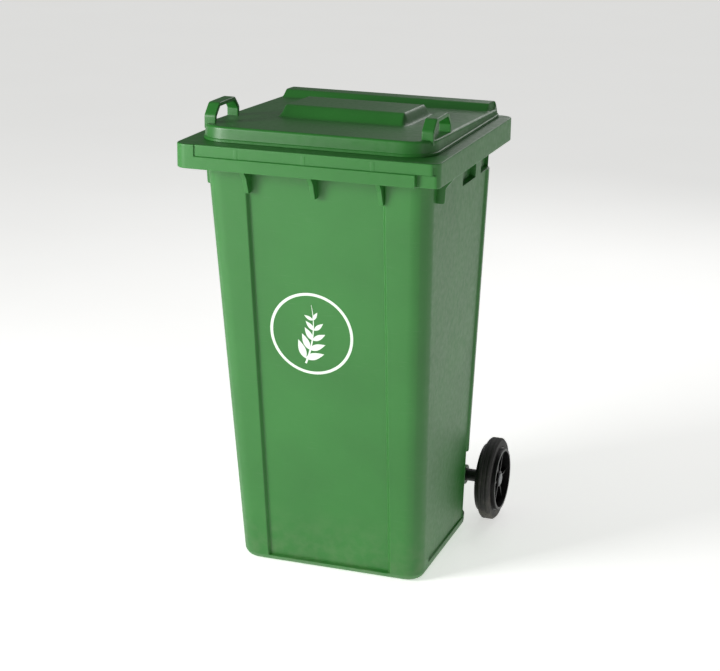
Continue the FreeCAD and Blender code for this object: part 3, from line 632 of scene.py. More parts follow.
@dataclass(frozen=True)
class Outlined:
    """A rounded rectangle seen from above, symmetrical about X = 0."""

    half: float
    near: float
    far: float
    corner: float

    @property
    def reach(self) -> float:
        """Half length of the straight front."""
        return self.half - self.corner

    @property
    def run(self) -> float:
        """Half length of a straight side."""
        return (self.far - self.near) / 2 - self.corner

    @property
    def middle(self) -> float:
        """Depth of its middle."""
        return (self.far + self.near) / 2

    def inset(self, front: float, side: float, rear: float, corner: float) -> "Outlined":
        """The outline moved inwards by its own amount on each side."""
        return Outlined(self.half - side, self.near + front, self.far - rear, corner)


@dataclass(frozen=True)
class Station:
    """A place on the outline that every section shares: on a straight side, or in a corner."""

    side: int
    low: float = 0.0
    high: float = 0.0
    turn: float | None = None


@dataclass
class Tub:
    """The moulded tub and its lifting collar, one closed skin inside and out."""

    collar: Outlined = Outlined(0.290, 0.0, 0.597, 0.028)
    top: Outlined = Outlined(0.255, 0.058, 0.581, 0.042)
    base: Outlined = Outlined(0.218, 0.184, 0.575, 0.042)
    collar_top: float = 1.004
    collar_height: float = 0.052
    skin: float = 0.005
    wall: float = 0.0036
    edge: float = 0.0022
    foot: float = 0.022
    floor_gap: float = 0.007
    base_ring: float = 0.034
    lip_height: float = 0.009
    lip_thickness: float = 0.003
    panel_half_low: float = 0.142
    panel_half_high: float = 0.150
    panel_depth: float = 0.009
    panel_draft: float = 0.007
    panel_foot: float = 0.016
    flank_depth: float = 0.004
    flank_front: float = 0.066
    flank_rear: float = 0.046
    flank_foot: float = 0.030
    flank_draft: float = 0.003
    back_depth: float = 0.005
    back_half: float = 0.128
    back_foot: float = 0.156
    pocket_depth: float = 0.017
    pocket_low: float = 0.889
    pockets: tuple[tuple[float, float], ...] = ((0.336, 0.440), (0.482, 0.566))
    well_depth: float = 0.026
    well: tuple[float, float] = (0.528, 0.566)
    well_low: float = 0.036
    well_high: float = 0.201
    press: float = 0.002
    band_setback: float = 0.003
    band_height: float = 0.025
    band: tuple[float, float] = (-0.244, 0.277)
    notch: tuple[float, float] = (0.243, 0.285)
    notch_depth: float = 0.010
    notch_backing: float = 0.016
    inner_fillet: float = 0.010
    inner_corner: float = 0.030
    panel_ramp: float = 0.0025

    @property
    def collar_low(self) -> float:
        """Height of the collar's lower rim."""
        return self.collar_top - self.collar_height

    def outline_at(self, height: float) -> Outlined:
        """The tub's section at a height."""
        share = height / self.collar_top
        return Outlined(mix(self.base.half, self.top.half, share),
                        mix(self.base.near, self.top.near, share),
                        mix(self.base.far, self.top.far, share), self.top.corner)

    def panel_half(self, height: float) -> float:
        """Half width of the front panel at a height."""
        return mix(self.panel_half_low, self.panel_half_high,
                   (height - self.panel_foot) / (self.collar_low - self.panel_foot))

    def stations(self) -> list[Station]:
        """Places around the outline, closer together where something is pressed into the wall.

        Returns:
            The stations, from the front left corner round by the right.
        """
        scale = self.top.reach / self.collar.reach
        low_panel, high_panel = self.panel_half(0), self.panel_half(self.collar_top)
        front = [(0.0, 0.0), (self.base.reach, self.top.reach)]
        front += [(low_panel + line, high_panel + line)
                  for line in ramp_lines(0.0, self.panel_draft)]
        front += [(low_panel * share / 5, high_panel * share / 5) for share in range(1, 5)]
        plan = [(-low, -high) for low, high in front] + front
        shrink = self.base.reach / self.top.reach
        for place in (self.band[0], self.band[0] + self.press, self.band[0] - self.press / 2,
                      self.notch[0] - self.press, self.notch[0], self.notch[0] + self.press / 2):
            plan.append((place * scale * shrink, place * scale))
        side = [(self.base.near + self.base.corner, self.top.near + self.top.corner),
                (self.base.far - self.base.corner, self.top.far - self.top.corner)]
        side += [(self.base.near + self.flank_front + line, self.top.near + self.flank_front + line)
                 for line in ramp_lines(0.0, self.flank_draft, 4)]
        side += [(self.base.far - self.flank_rear - line, self.top.far - self.flank_rear - line)
                 for line in ramp_lines(0.0, self.flank_draft, 4)]
        for start, end in self.pockets:
            side += [(edge, edge) for edge in ramp_lines(start, self.press, 3)]
            side += [(edge, edge) for edge in ramp_lines(end - self.press, self.press, 3)]
        side += [(edge, edge) for edge in ramp_lines(self.well[0], self.press, 3)]
        side = [(low, high) for low, high in side
                if high <= self.top.far - self.top.corner
                and low <= self.base.far - self.base.corner + 0.01]
        rear = [(0.0, 0.0), (self.base.reach, self.top.reach)]
        rear += [(self.back_half + line, self.back_half + line)
                 for line in ramp_lines(0.0, self.back_depth, 4)]
        rear += [(-low, -high) for low, high in rear]
        turns = [math.pi / 2 * share / 10 for share in range(1, 10)]
        fronts = turns + [math.radians(angle) for angle in (31, 34, 53, 57, 60)]
        rears = turns + [math.radians(angle) for angle in (37.5, 40, 42.5, 48, 51, 54)]
        order = [(0, sorted(set(plan), key=lambda pair: pair[1])),
                 (1, sorted(set(side), key=lambda pair: pair[1])),
                 (2, sorted(set(rear), key=lambda pair: -pair[1])),
                 (3, sorted(set(side), key=lambda pair: -pair[1]))]
        found: list[Station] = []
        for number, pairs in order:
            found += [Station(number, low, high) for low, high in pairs]
            found += [Station(number, turn=turn) for turn in self.corner_turns(number, fronts, rears)]
        return found

    def corner_turns(self, number: int, fronts: list[float], rears: list[float]) -> list[float]:
        """Angles in the corner that follows a side, each measured from that side's own direction."""
        if number == 0:
            return sorted(fronts)
        if number == 1:
            return sorted(rears)
        if number == 2:
            return sorted(math.pi / 2 - turn for turn in rears)
        return sorted(math.pi / 2 - turn for turn in fronts)

    def spot(self, station: Station, shape: Outlined, share: float) -> Vector:
        """Where a station lies on an outline.

        Args:
            station: the station.
            shape: the outline.
            share: height as a share of the collar's height.

        Returns:
            (x, depth) of the point.
        """
        guide = self.outline_at(share * self.collar_top)
        if station.turn is not None:
            start = math.radians((-90, 0, 90, 180)[station.side])
            turn = start + station.turn
            right = 1 if station.side in (0, 1) else -1
            back = 1 if station.side in (1, 2) else -1
            return Vector((right * shape.reach + shape.corner * math.cos(turn),
                           shape.middle + back * shape.run + shape.corner * math.sin(turn)))
        place = mix(station.low, station.high, share)
        if station.side in (0, 2):
            x = place * shape.reach / guide.reach
            return Vector((x, shape.near if station.side == 0 else shape.far))
        depth = shape.middle + (place - guide.middle) * shape.run / guide.run
        return Vector((shape.half if station.side == 1 else -shape.half, depth))

    def hollow(self, depth: float, height: float, grow: float) -> float:
        """How far the pockets and the well press the side wall in.

        Args:
            depth: depth of the point.
            height: its height.
            grow: how much larger the hollow is, for the inside of the wall.

        Returns:
            Distance from the wall's outside.
        """
        step = self.press
        deep = 0.0
        for start, end in self.pockets:
            across = rise_and_fall(depth, start - grow, end + grow, step)
            up = rise_and_fall(height, self.pocket_low - grow, self.collar_low - 0.001 + grow, step)
            deep = max(deep, (self.pocket_depth + grow) * across * up)
        across = rise_and_fall(depth, self.well[0] - grow, self.well[1] + grow, step)
        up = rise_and_fall(height, self.well_low - grow, self.well_high + grow, step)
        return max(deep, (self.well_depth + grow) * across * up)

    def press_out(self, point: Vector, height: float) -> Vector:
        """Press the front panel, the flanks, the back panel, the pockets and the wells into the skin."""
        shape = self.outline_at(height)
        x, depth = abs(point.x), point.y
        up = rise_and_fall(height, self.panel_foot, self.collar_low, self.panel_ramp)
        sunk = ease((self.panel_half(height) + self.panel_draft - x) / self.panel_draft) * up
        depth = max(depth, shape.near + self.panel_depth * sunk)
        up = rise_and_fall(height, self.back_foot, self.collar_low, self.back_depth)
        sunk = ease((self.back_half + self.back_depth - x) / self.back_depth) * up
        depth = min(depth, shape.far - self.back_depth * sunk)
        up = rise_and_fall(height, self.flank_foot, self.collar_low, self.flank_draft)
        sunk = rise_and_fall(depth, shape.near + self.flank_front, shape.far - self.flank_rear,
                             self.flank_draft) * up
        flat = self.outline_at(self.pocket_low if height > 0.5 else self.well_low)
        x = min(x, shape.half - self.flank_depth * sunk)
        deep = self.hollow(point.y, height, 0.0)
        if deep:
            x = min(x, flat.half - deep)
        return Vector((math.copysign(x, point.x), depth))

    def press_in(self, point: Vector, height: float) -> Vector:
        """Bulge the inside of the wall around the pockets and the wells."""
        flat = self.outline_at(self.pocket_low if height > 0.5 else self.well_low)
        deep = self.hollow(point.y, height, self.wall)
        x = min(abs(point.x), flat.half - deep) if deep else abs(point.x)
        return Vector((math.copysign(x, point.x), point.y))

    def press_collar(self, point: Vector, height: float, inset: float) -> Vector:
        """Set back the collar's upper band and cut the notch beside its right corner.

        Args:
            point: (x, depth) on the collar's outside.
            height: its height.
            inset: how far its row lies inside the collar's outline, for a rounded edge.

        Returns:
            The pressed point.
        """
        split = self.collar_top - self.band_height
        step = self.press
        upper = ease((height - split + step / 2) / step)
        band = rise_and_fall(point.x, self.band[0], self.band[1] + step, step) * self.band_setback
        slit = rise_and_fall(point.x, self.band[1], self.notch[1] + step, step) * self.notch_depth
        slit *= ease((self.collar_top - self.skin - height) / step)
        cut = rise_and_fall(point.x, self.notch[0] - step, self.notch[1] + step, step) * self.notch_depth
        deep = max(max(band, slit) * upper, cut * (1 - upper))
        return Vector((point.x, max(point.y, deep + inset if deep else point.y)))

    def loops(self) -> list[Loop]:
        """Sections of the whole skin: up the inside, over the lip and collar and down the outside."""
        stations = self.stations()
        top, low = self.collar_top, self.collar_low
        loops: list[Loop] = []

        def add(height: float, shape: Outlined, share: float, shift: Callable[[Vector], Vector]) -> None:
            """Add the loop of one outline at one height."""
            points = [shift(self.spot(station, shape, share)) for station in stations]
            loops.append([Vector((point.x, point.y + FRONT, height)) for point in points])

        def still(point: Vector) -> Vector:
            """Leave a point where it is."""
            return point

        front, side, rear = (self.panel_depth + self.wall, self.flank_depth + self.wall,
                             self.back_depth + self.wall)
        floor = self.floor_gap + self.wall
        bends = [math.pi / 2 * step / 4 for step in range(5)]
        for bend in bends[:-1]:
            height = floor + self.inner_fillet * (1 - math.cos(bend))
            more = self.inner_fillet * (1 - math.sin(bend))
            shape = self.outline_at(height).inset(front + more, side + more, rear + more, self.inner_corner)
            add(height, shape, height / top, lambda p, z=height: self.press_in(p, z))
        lip_top = top + self.lip_height
        inner_marks = [floor + self.inner_fillet, lip_top - 0.001]
        for start, end in ((self.well_low - self.wall, self.well_high + self.wall),
                           (self.pocket_low - self.wall, low - 0.001 + self.wall)):
            inner_marks += ramp_lines(start, self.press, 3) + ramp_lines(end - self.press, self.press, 3)
        for height in grid_lines(inner_marks, 0.12):
            shape = self.outline_at(height).inset(front, side, rear, self.inner_corner)
            add(height, shape, height / top, lambda p, z=height: self.press_in(p, z))
        lip = self.outline_at(top)
        for thick, height in ((0.0008, lip_top - 0.0002), (0.0015, lip_top), (0.0022, lip_top - 0.0002),
                              (self.lip_thickness, lip_top - 0.001), (self.lip_thickness, top + 0.0012),
                              (self.lip_thickness + 0.0004, top + 0.0004),
                              (self.lip_thickness + 0.0012, top)):
            corner = mix(self.inner_corner, self.top.corner, thick / 0.005)
            shape = lip.inset(front - thick, side - thick, rear - thick, corner)
            add(height, shape, 1.0, still)
        for bend in bends:
            inset = self.edge * (1 - math.sin(bend))
            height = top - self.edge * (1 - math.cos(bend))
            shape = self.collar.inset(inset, inset, inset, self.collar.corner - inset)
            add(height, shape, 1.0, lambda p, z=height, i=inset: self.press_collar(p, z, i))
        split = top - self.band_height
        marks = [top - self.edge, low + self.edge] + ramp_lines(split - self.press / 2, self.press, 4)
        marks += ramp_lines(top - self.skin - self.press, self.press, 3)[:-1]
        for height in grid_lines([mark for mark in marks if mark < top - self.edge], 0.02)[::-1]:
            add(height, self.collar, 1.0, lambda p, z=height: self.press_collar(p, z, 0.0))
        for bend in bends[1:]:
            inset = self.edge * (1 - math.cos(bend))
            height = low + self.edge * (1 - math.sin(bend))
            shape = self.collar.inset(inset, inset, inset, self.collar.corner - inset)
            add(height, shape, 1.0, lambda p, z=height, i=inset: self.press_collar(p, z, i))

        def back_up(point: Vector) -> Vector:
            """Keep the backing behind the notch."""
            behind = rise_and_fall(point.x, self.notch[0] - 0.007, self.notch[1] + 0.003, self.press)
            return Vector((point.x, max(point.y, self.notch_backing * behind)))

        thin = self.skin
        for inset, height in ((thin - 0.0008, low), (thin, low + 0.0008), (thin, top - thin - 0.004),
                              (thin + 0.0012, top - thin - 0.0012), (thin + 0.004, top - thin)):
            shape = self.collar.inset(inset, inset, inset, self.collar.corner - inset)
            add(height, shape, 1.0, back_up)
        under = top - thin
        marks = [under - 0.004, self.foot, 0.30, 0.45, 0.60, 0.75]
        marks += ramp_lines(self.panel_foot, self.panel_ramp, 4)
        marks += ramp_lines(low - self.panel_ramp, self.panel_ramp, 4)
        marks += ramp_lines(self.flank_foot, self.flank_draft, 3)
        marks += ramp_lines(self.back_foot, self.back_depth, 3)
        marks += ramp_lines(self.well_low, self.press, 3)
        marks += ramp_lines(self.well_high - self.press, self.press, 3)
        marks += ramp_lines(self.pocket_low, self.press, 3)
        marks += [low - 0.001, low - 0.002, low - 0.003]
        for out, height in ((0.004, under), (0.0012, under - 0.0012)):
            shape = self.outline_at(height).inset(-out, -out, -out, self.top.corner + out)
            add(height, shape, height / top, still)
        for height in grid_lines([mark for mark in marks if mark >= self.foot], 0.12)[::-1]:
            add(height, self.outline_at(height), height / top, lambda p, z=height: self.press_out(p, z))
        for height in sorted((mark for mark in set(marks) if mark < self.foot - 0.0004), reverse=True):
            self.add_foot(add, height)
        for share in (0.5, 0.3, 0.14, 0.05, 0.0):
            self.add_foot(add, self.panel_foot * share)
        for inset, height in ((self.base_ring - 0.001, 0.0), (self.base_ring, 0.001),
                              (self.base_ring, self.floor_gap)):
            shape = self.outline_at(0.0).inset(inset, inset, inset, 0.008)
            add(height, shape, 0.0, still)
        return loops

    def add_foot(self, add: Callable, height: float) -> None:
        """Add a section of the quarter-round foot at a height."""
        drop = min(1.0, 1 - height / self.foot)
        inset = self.foot * (1 - math.sqrt(max(0.0, 1 - drop * drop)))
        shape = self.outline_at(height).inset(inset, inset, inset, self.top.corner - inset)
        add(height, shape, height / self.collar_top, lambda p: self.press_out(p, height))

    def build(self, finish: bpy.types.Material) -> bpy.types.Object:
        """Build the tub with its collar as one skin."""
        bm = bmesh.new()
        loft(bm, self.loops())
        return solid("tub_shell", bm, finish)

    def front_face(self, height: float) -> float:
        """Y of the tub's front wall at a height."""
        return self.outline_at(height).near + FRONT

    def panel_face(self, height: float) -> float:
        """Y of the recessed front panel at a height."""
        return self.front_face(height) + self.panel_depth


@dataclass
class Gussets:
    """Webs under the collar: three across the front and one on each side."""

    tub: Tub
    thickness: float = 0.010
    spread: float = 0.150
    count: int = 3
    drop: float = 0.057
    reach: float = 0.036
    step: float = 0.017
    taper: float = 0.024
    side_depth: float = 0.132
    edge: float = 0.0014

    def front_outline(self) -> Outline:
        """(y, z) outline of a front web."""
        tub = self.tub
        top, low = tub.collar_top - tub.skin / 2, tub.collar_low
        tail, bend = low - self.drop, low - self.taper
        inside = tub.panel_depth + tub.wall / 2
        return soften([(tub.front_face(top) + inside, top), (FRONT + tub.skin / 2, top),
                       (FRONT + tub.skin / 2, low + tub.skin), (tub.front_face(low) - self.reach, low),
                       (tub.front_face(bend) - self.step, bend),
                       (tub.front_face(tail) - self.step / 2, tail),
                       (tub.front_face(tail) + inside, tail)], 0.004, 2)

    def side_outline(self, side: int) -> Outline:
        """(x, z) outline of a side web."""
        tub = self.tub
        top, low = tub.collar_top - tub.skin / 2, tub.collar_low
        tail, bend = low - self.drop, low - self.taper
        inside = tub.flank_depth + tub.wall / 2
        half = [tub.outline_at(height).half for height in (top, bend, tail)]
        rim = tub.collar.half - tub.skin / 2
        return [(side * x, z) for x, z in soften(
            [(half[0] - inside, top), (rim, top), (rim, low), (half[1] + self.step, bend),
             (half[2] + self.step, tail), (half[2] - inside, tail)], 0.004, 2)]

    def build(self, finish: bpy.types.Material) -> list[bpy.types.Object]:
        """Build the front webs as copies of one plate, and the two side webs."""
        bm = bmesh.new()
        plate(bm, self.front_outline(), -self.thickness / 2, self.thickness / 2, Across.X, self.edge)
        front = solid("collar_webs_front", bm, finish)
        grow(front, copies_tree(finish), Count=self.count, Spacing=self.spread,
             Centre=(-self.spread, 0.0, 0.0))
        bm = bmesh.new()
        middle = FRONT + self.side_depth
        for side in SIDES.values():
            plate(bm, self.side_outline(side), middle - self.thickness / 2, middle + self.thickness / 2,
                  Across.Y, self.edge)
        return [front, solid("collar_webs_side", bm, finish)]


@dataclass
class RearFittings:
    """Grip bars on their plates behind the collar, and the carriers that hold the axle."""

    tub: Tub
    grip_radius: float = 0.014
    grip: tuple[float, float] = (0.092, 0.204)
    grip_plate: float = 0.009
    bore: float = 0.0062
    carrier: tuple[float, float] = (0.148, 0.196)
    carrier_radius: float = 0.024
    carrier_drop: float = 0.046
    carrier_bore: float = 0.0102
    web: float = 0.009
    edge: float = 0.0014

    def ring(self, bm: bmesh.types.BMesh, start: float, end: float, radius: float, bore: float,
             axis: Vector) -> None:
        """Rounded tube along X around an axis."""
        profile = soften([(start, bore), (end, bore), (end, radius), (start, radius)], self.edge)
        lathe(bm, profile, Across.X, axis.y, axis.z)

    def grips(self, finish: bpy.types.Material) -> bpy.types.Object:
        """Build both grip bars and their four plates."""
        hinge = centre_of("hinge_pin_right")
        rear = FRONT + self.tub.collar.far - self.tub.skin / 2
        low = hinge.z - self.grip_radius * 0.9
        outline = soften([(rear, self.tub.collar_low), (rear + 0.012, self.tub.collar_low),
                          (hinge.y - 0.002, low), (hinge.y - 0.007, hinge.z + 0.010),
                          (rear + 0.010, self.tub.collar_top - 0.001), (rear, self.tub.collar_top - 0.001)],
                         0.004, 3)
        bm = bmesh.new()
        for side in SIDES.values():
            start, end = sorted(side * place for place in self.grip)
            self.ring(bm, start, end, self.grip_radius, self.bore, hinge)
            for near in (start + self.edge, end - self.grip_plate - self.edge):
                plate(bm, outline, near, near + self.grip_plate, Across.X, self.edge)
        return solid("rear_grips", bm, finish)

    def carriers(self, finish: bpy.types.Material) -> bpy.types.Object:
        """Build both axle carriers, each a bored boss on two webs with a cross wall."""
        axle = centre_of("axle")
        wall = FRONT + self.tub.base.far - self.tub.wall
        low, high = axle.z - self.carrier_drop, axle.z + self.carrier_radius
        stop = axle.y - self.carrier_bore - 0.002
        outline = soften([(wall, low), (stop, low + 0.022), (stop, high - 0.004), (wall, high)], 0.003, 3)
        bm = bmesh.new()
        for side in SIDES.values():
            start, end = sorted(side * place for place in self.carrier)
            self.ring(bm, start, end, self.carrier_radius, self.carrier_bore, axle)
            for near in (start + self.edge, (start + end - self.web) / 2, end - self.web - self.edge):
                plate(bm, outline, near, near + self.web, Across.X, self.edge)
            cross = soften([(wall, high - 0.010), (stop, high - 0.014),
                            (stop, high - 0.006), (wall, high - 0.002)],
                           0.001, 2)
            plate(bm, cross, start + 0.003, end - 0.003, Across.X, 0.0008)
        return solid("axle_carriers", bm, finish)


# ---------------------------------------------------------------- lid

@dataclass
class Lid:
    """The hinged lid: a thin skin with a raised middle, a rear hood and a beaded skirt."""

    tub: Tub
    plan: Outlined = Outlined(0.257, 0.049, 0.588, 0.060)
    rear_corner: float = 0.018
    low: float = 1.0043
    edge_front: float = 1.037
    edge_rear: float = 1.021
    skin: float = 0.0035
    draft: float = 0.002
    round: float = 0.006
    bead_height: float = 0.006
    bead_reach: float = 0.002
    dome_half: float = 0.150
    dome: tuple[float, float] = (0.224, 0.432)
    dome_rise: float = 0.025
    dome_slope: float = 0.038
    dome_side: float = 0.016
    hood_half: float = 0.250
    hood_front: float = 0.512
    hood_rise: float = 0.017
    hood_slope: float = 0.030
    hood_end: float = 0.005

    def height(self, x: float, depth: float) -> float:
        """Height of the lid's outer skin above a point."""
        share = (depth - self.plan.near) / (self.plan.far - self.plan.near)
        dome = ease((self.dome_half - abs(x)) / self.dome_side, 0.3)
        dome *= rise_and_fall(depth, *self.dome, self.dome_slope)
        hood = ease((self.hood_half - abs(x)) / self.hood_end)
        hood *= ease((depth - self.hood_front) / self.hood_slope)
        return (mix(self.edge_front, self.edge_rear, share) + dome * self.dome_rise + hood * self.hood_rise)

    def bend_corner(self, x: float, depth: float, inset: float) -> tuple[float, float]:
        """Carry a point of the rectangular grid into the plan's rounded corners.

        Args:
            x: half-width coordinate of the grid point.
            depth: its depth.
            inset: how far the grid's rim lies inside the plan.

        Returns:
            The moved (x, depth).
        """
        front = depth < self.plan.middle
        corner = (self.plan.corner if front else self.rear_corner) - inset
        rim = self.plan.near + inset if front else self.plan.far - inset
        back = -1 if front else 1
        across = abs(x) - (self.plan.half - inset - corner)
        along = (depth - rim) * back + corner
        if across <= 0 or along <= 0:
            return x, depth
        radius = max(across, along)
        turn = math.pi / 4 * (along / across if across >= along else 2 - across / along)
        return (math.copysign(self.plan.half - inset - corner + radius * math.cos(turn), x),
                rim - back * corner + back * radius * math.sin(turn))

    def outward(self, x: float, depth: float) -> Vector:
        """Direction away from the lid at a point of its rim."""
        front = depth < self.plan.middle
        corner = self.plan.corner if front else self.rear_corner
        middle = self.plan.near + corner if front else self.plan.far - corner
        back = -1 if front else 1
        across = max(0.0, abs(x) - (self.plan.half - corner))
        along = max(0.0, (depth - middle) * back)
        if across <= WELD and along <= WELD:
            flat = abs(x) > self.plan.half - self.round - 0.001
            return Vector((math.copysign(1.0, x), 0.0)) if flat else Vector((0.0, float(back)))
        return Vector((math.copysign(across, x), back * along)).normalized()

    def build(self, finish: bpy.types.Material) -> bpy.types.Object:
        """Build the lid's skin: outer grid, rounded rim, skirt, bead and inner grid."""
        inset = self.round
        half, near, far = self.plan.half - inset, self.plan.near + inset, self.plan.far - inset
        columns = [0.0, half, self.plan.half - self.plan.corner, self.plan.half - self.rear_corner]
        columns += ramp_lines(self.dome_half - self.dome_side, self.dome_side, 8)
        columns += ramp_lines(self.hood_half - self.hood_end, self.hood_end, 4)
        columns = grid_lines([column for column in columns if column <= half], 0.016)
        columns = [-column for column in columns[:0:-1]] + columns
        rows = [near, far, self.plan.near + self.plan.corner, self.plan.far - self.rear_corner]
        rows += ramp_lines(self.dome[0], self.dome_slope, 12)
        rows += ramp_lines(self.dome[1] - self.dome_slope, self.dome_slope, 12)
        rows += ramp_lines(self.hood_front, self.hood_slope, 10)
        rows = grid_lines([row for row in rows if row <= far], 0.016)
        bm = bmesh.new()
        flat = [[self.bend_corner(x, depth, inset) for x in columns] for depth in rows]
        for drop in (0.0, self.skin):
            grid = [[bm.verts.new((x, depth + FRONT, self.height(x, depth) - drop)) for x, depth in line]
                    for line in flat]
            for lower, upper in zip(grid, grid[1:]):
                join(bm, lower, upper, closed=False)
        rim = flat[0] + [line[-1] for line in flat[1:-1]]
        rim += flat[-1][::-1] + [line[0] for line in flat[-2:0:-1]]
        top = [self.height(x, depth) for x, depth in rim]
        out = [self.outward(x, depth) for x, depth in rim]

        def row(push: float, heights: Sequence[float]) -> Loop:
            """Loop pushed outwards from the grid's rim, at its own heights."""
            return [Vector((x + way.x * push, depth + way.y * push + FRONT, z))
                    for (x, depth), way, z in zip(rim, out, heights)]

        bends = [math.pi / 2 * step / 5 for step in range(6)]
        loops = [row(inset * math.sin(bend), [z - inset * (1 - math.cos(bend)) for z in top])
                 for bend in bends]
        bead = self.low + self.bead_height
        level = len(rim)
        for push, z in ((inset + self.draft * 0.8, bead + 0.0012),
                        (inset + self.draft + 0.0003, bead + 0.0003),
                        (inset + self.draft + self.bead_reach - 0.0006, bead),
                        (inset + self.draft + self.bead_reach, bead - 0.0006),
                        (inset + self.draft + self.bead_reach, self.low + 0.0006),
                        (inset + self.draft + self.bead_reach - 0.0006, self.low),
                        (inset + self.draft - self.skin + 0.0004, self.low),
                        (inset + self.draft - self.skin, self.low + 0.0004)):
            loops.append(row(push, [z] * level))
        inner = inset - self.skin
        for push, drop in ((inner, self.skin + 0.0025), (inner - 0.0007, self.skin + 0.0007),
                           (0.0, self.skin)):
            loops.append(row(push, [z - drop for z in top]))
        loft(bm, loops, caps=False)
        return solid("lid_shell", bm, finish)


@dataclass
class LidFittings:
    """Carrying loops on the lid's front corners and the lugs that reach back to the hinge pins."""

    lid: Lid
    rear: RearFittings
    loop_middle: float = 0.241
    loop_width: float = 0.026
    loop_front: float = 0.082
    loop_length: float = 0.132
    loop_rise: float = 0.040
    loop_strap: float = 0.009
    loop_bevel: float = 0.024
    loop_edge: float = 0.0022
    lug_width: float = 0.012
    lug_gap: float = 0.0015

    def loop(self, name: str, side: int, finish: bpy.types.Material) -> bpy.types.Object:
        """Build one carrying loop: a rounded strap swept up, over and down.

        Args:
            name: right or left.
            side: 1 or -1.
            finish: its material.

        Returns:
            The loop.
        """
        half = self.loop_strap / 2
        front, rear = FRONT + self.loop_front + half, FRONT + self.loop_front + self.loop_length - half
        top = self.lid.edge_front + self.loop_rise - half
        foot = self.lid.edge_rear + 0.004
        cut = self.loop_bevel - half * 0.6
        across = side * self.loop_middle
        places = [(front, foot), (front, top - cut), (front + cut, top),
                  (rear - cut, top), (rear, top - cut), (rear, foot)]
        curve = bpy.data.curves.new(f"carrying_loop_{name}", "CURVE")
        curve.dimensions = "3D"
        line = curve.splines.new("POLY")
        line.points.add(len(places) - 1)
        for point, (y, z) in zip(line.points, places):
            point.co = (across, y, z, 1.0)
        obj = bpy.data.objects.new(f"carrying_loop_{name}", curve)
        bpy.context.scene.collection.objects.link(obj)
        made = grow(obj, strap_tree(finish), Width=self.loop_width, Thickness=self.loop_strap,
                    Edge=self.loop_edge, Bend=0.008)
        made.name = f"carrying_loop_{name}"
        return shade(made)

    def lugs(self, finish: bpy.types.Material) -> bpy.types.Object:
        """Build the four hinge lugs, each an arm with a bored eye."""
        hinge = centre_of("hinge_pin_right")
        start = FRONT + self.lid.plan.far - self.lid.skin
        eye = self.rear.grip_radius
        stop = hinge.y - self.rear.bore - 0.002
        arm = soften([(start, self.lid.low), (stop, self.lid.low), (stop, hinge.z + eye * 0.8),
                      (start, hinge.z + eye)], 0.003, 3)
        bm = bmesh.new()
        near, far = self.rear.grip
        for side in SIDES.values():
            for low in (near - self.lug_width - self.lug_gap, far + self.lug_gap):
                first, last = sorted((side * low, side * (low + self.lug_width)))
                self.rear.ring(bm, first, last, eye, self.rear.bore, hinge)
                plate(bm, arm, first + 0.0008, last - 0.0008, Across.X, 0.0012)
        return solid("hinge_lugs", bm, finish)


# ---------------------------------------------------------------- wheels and small turned pieces

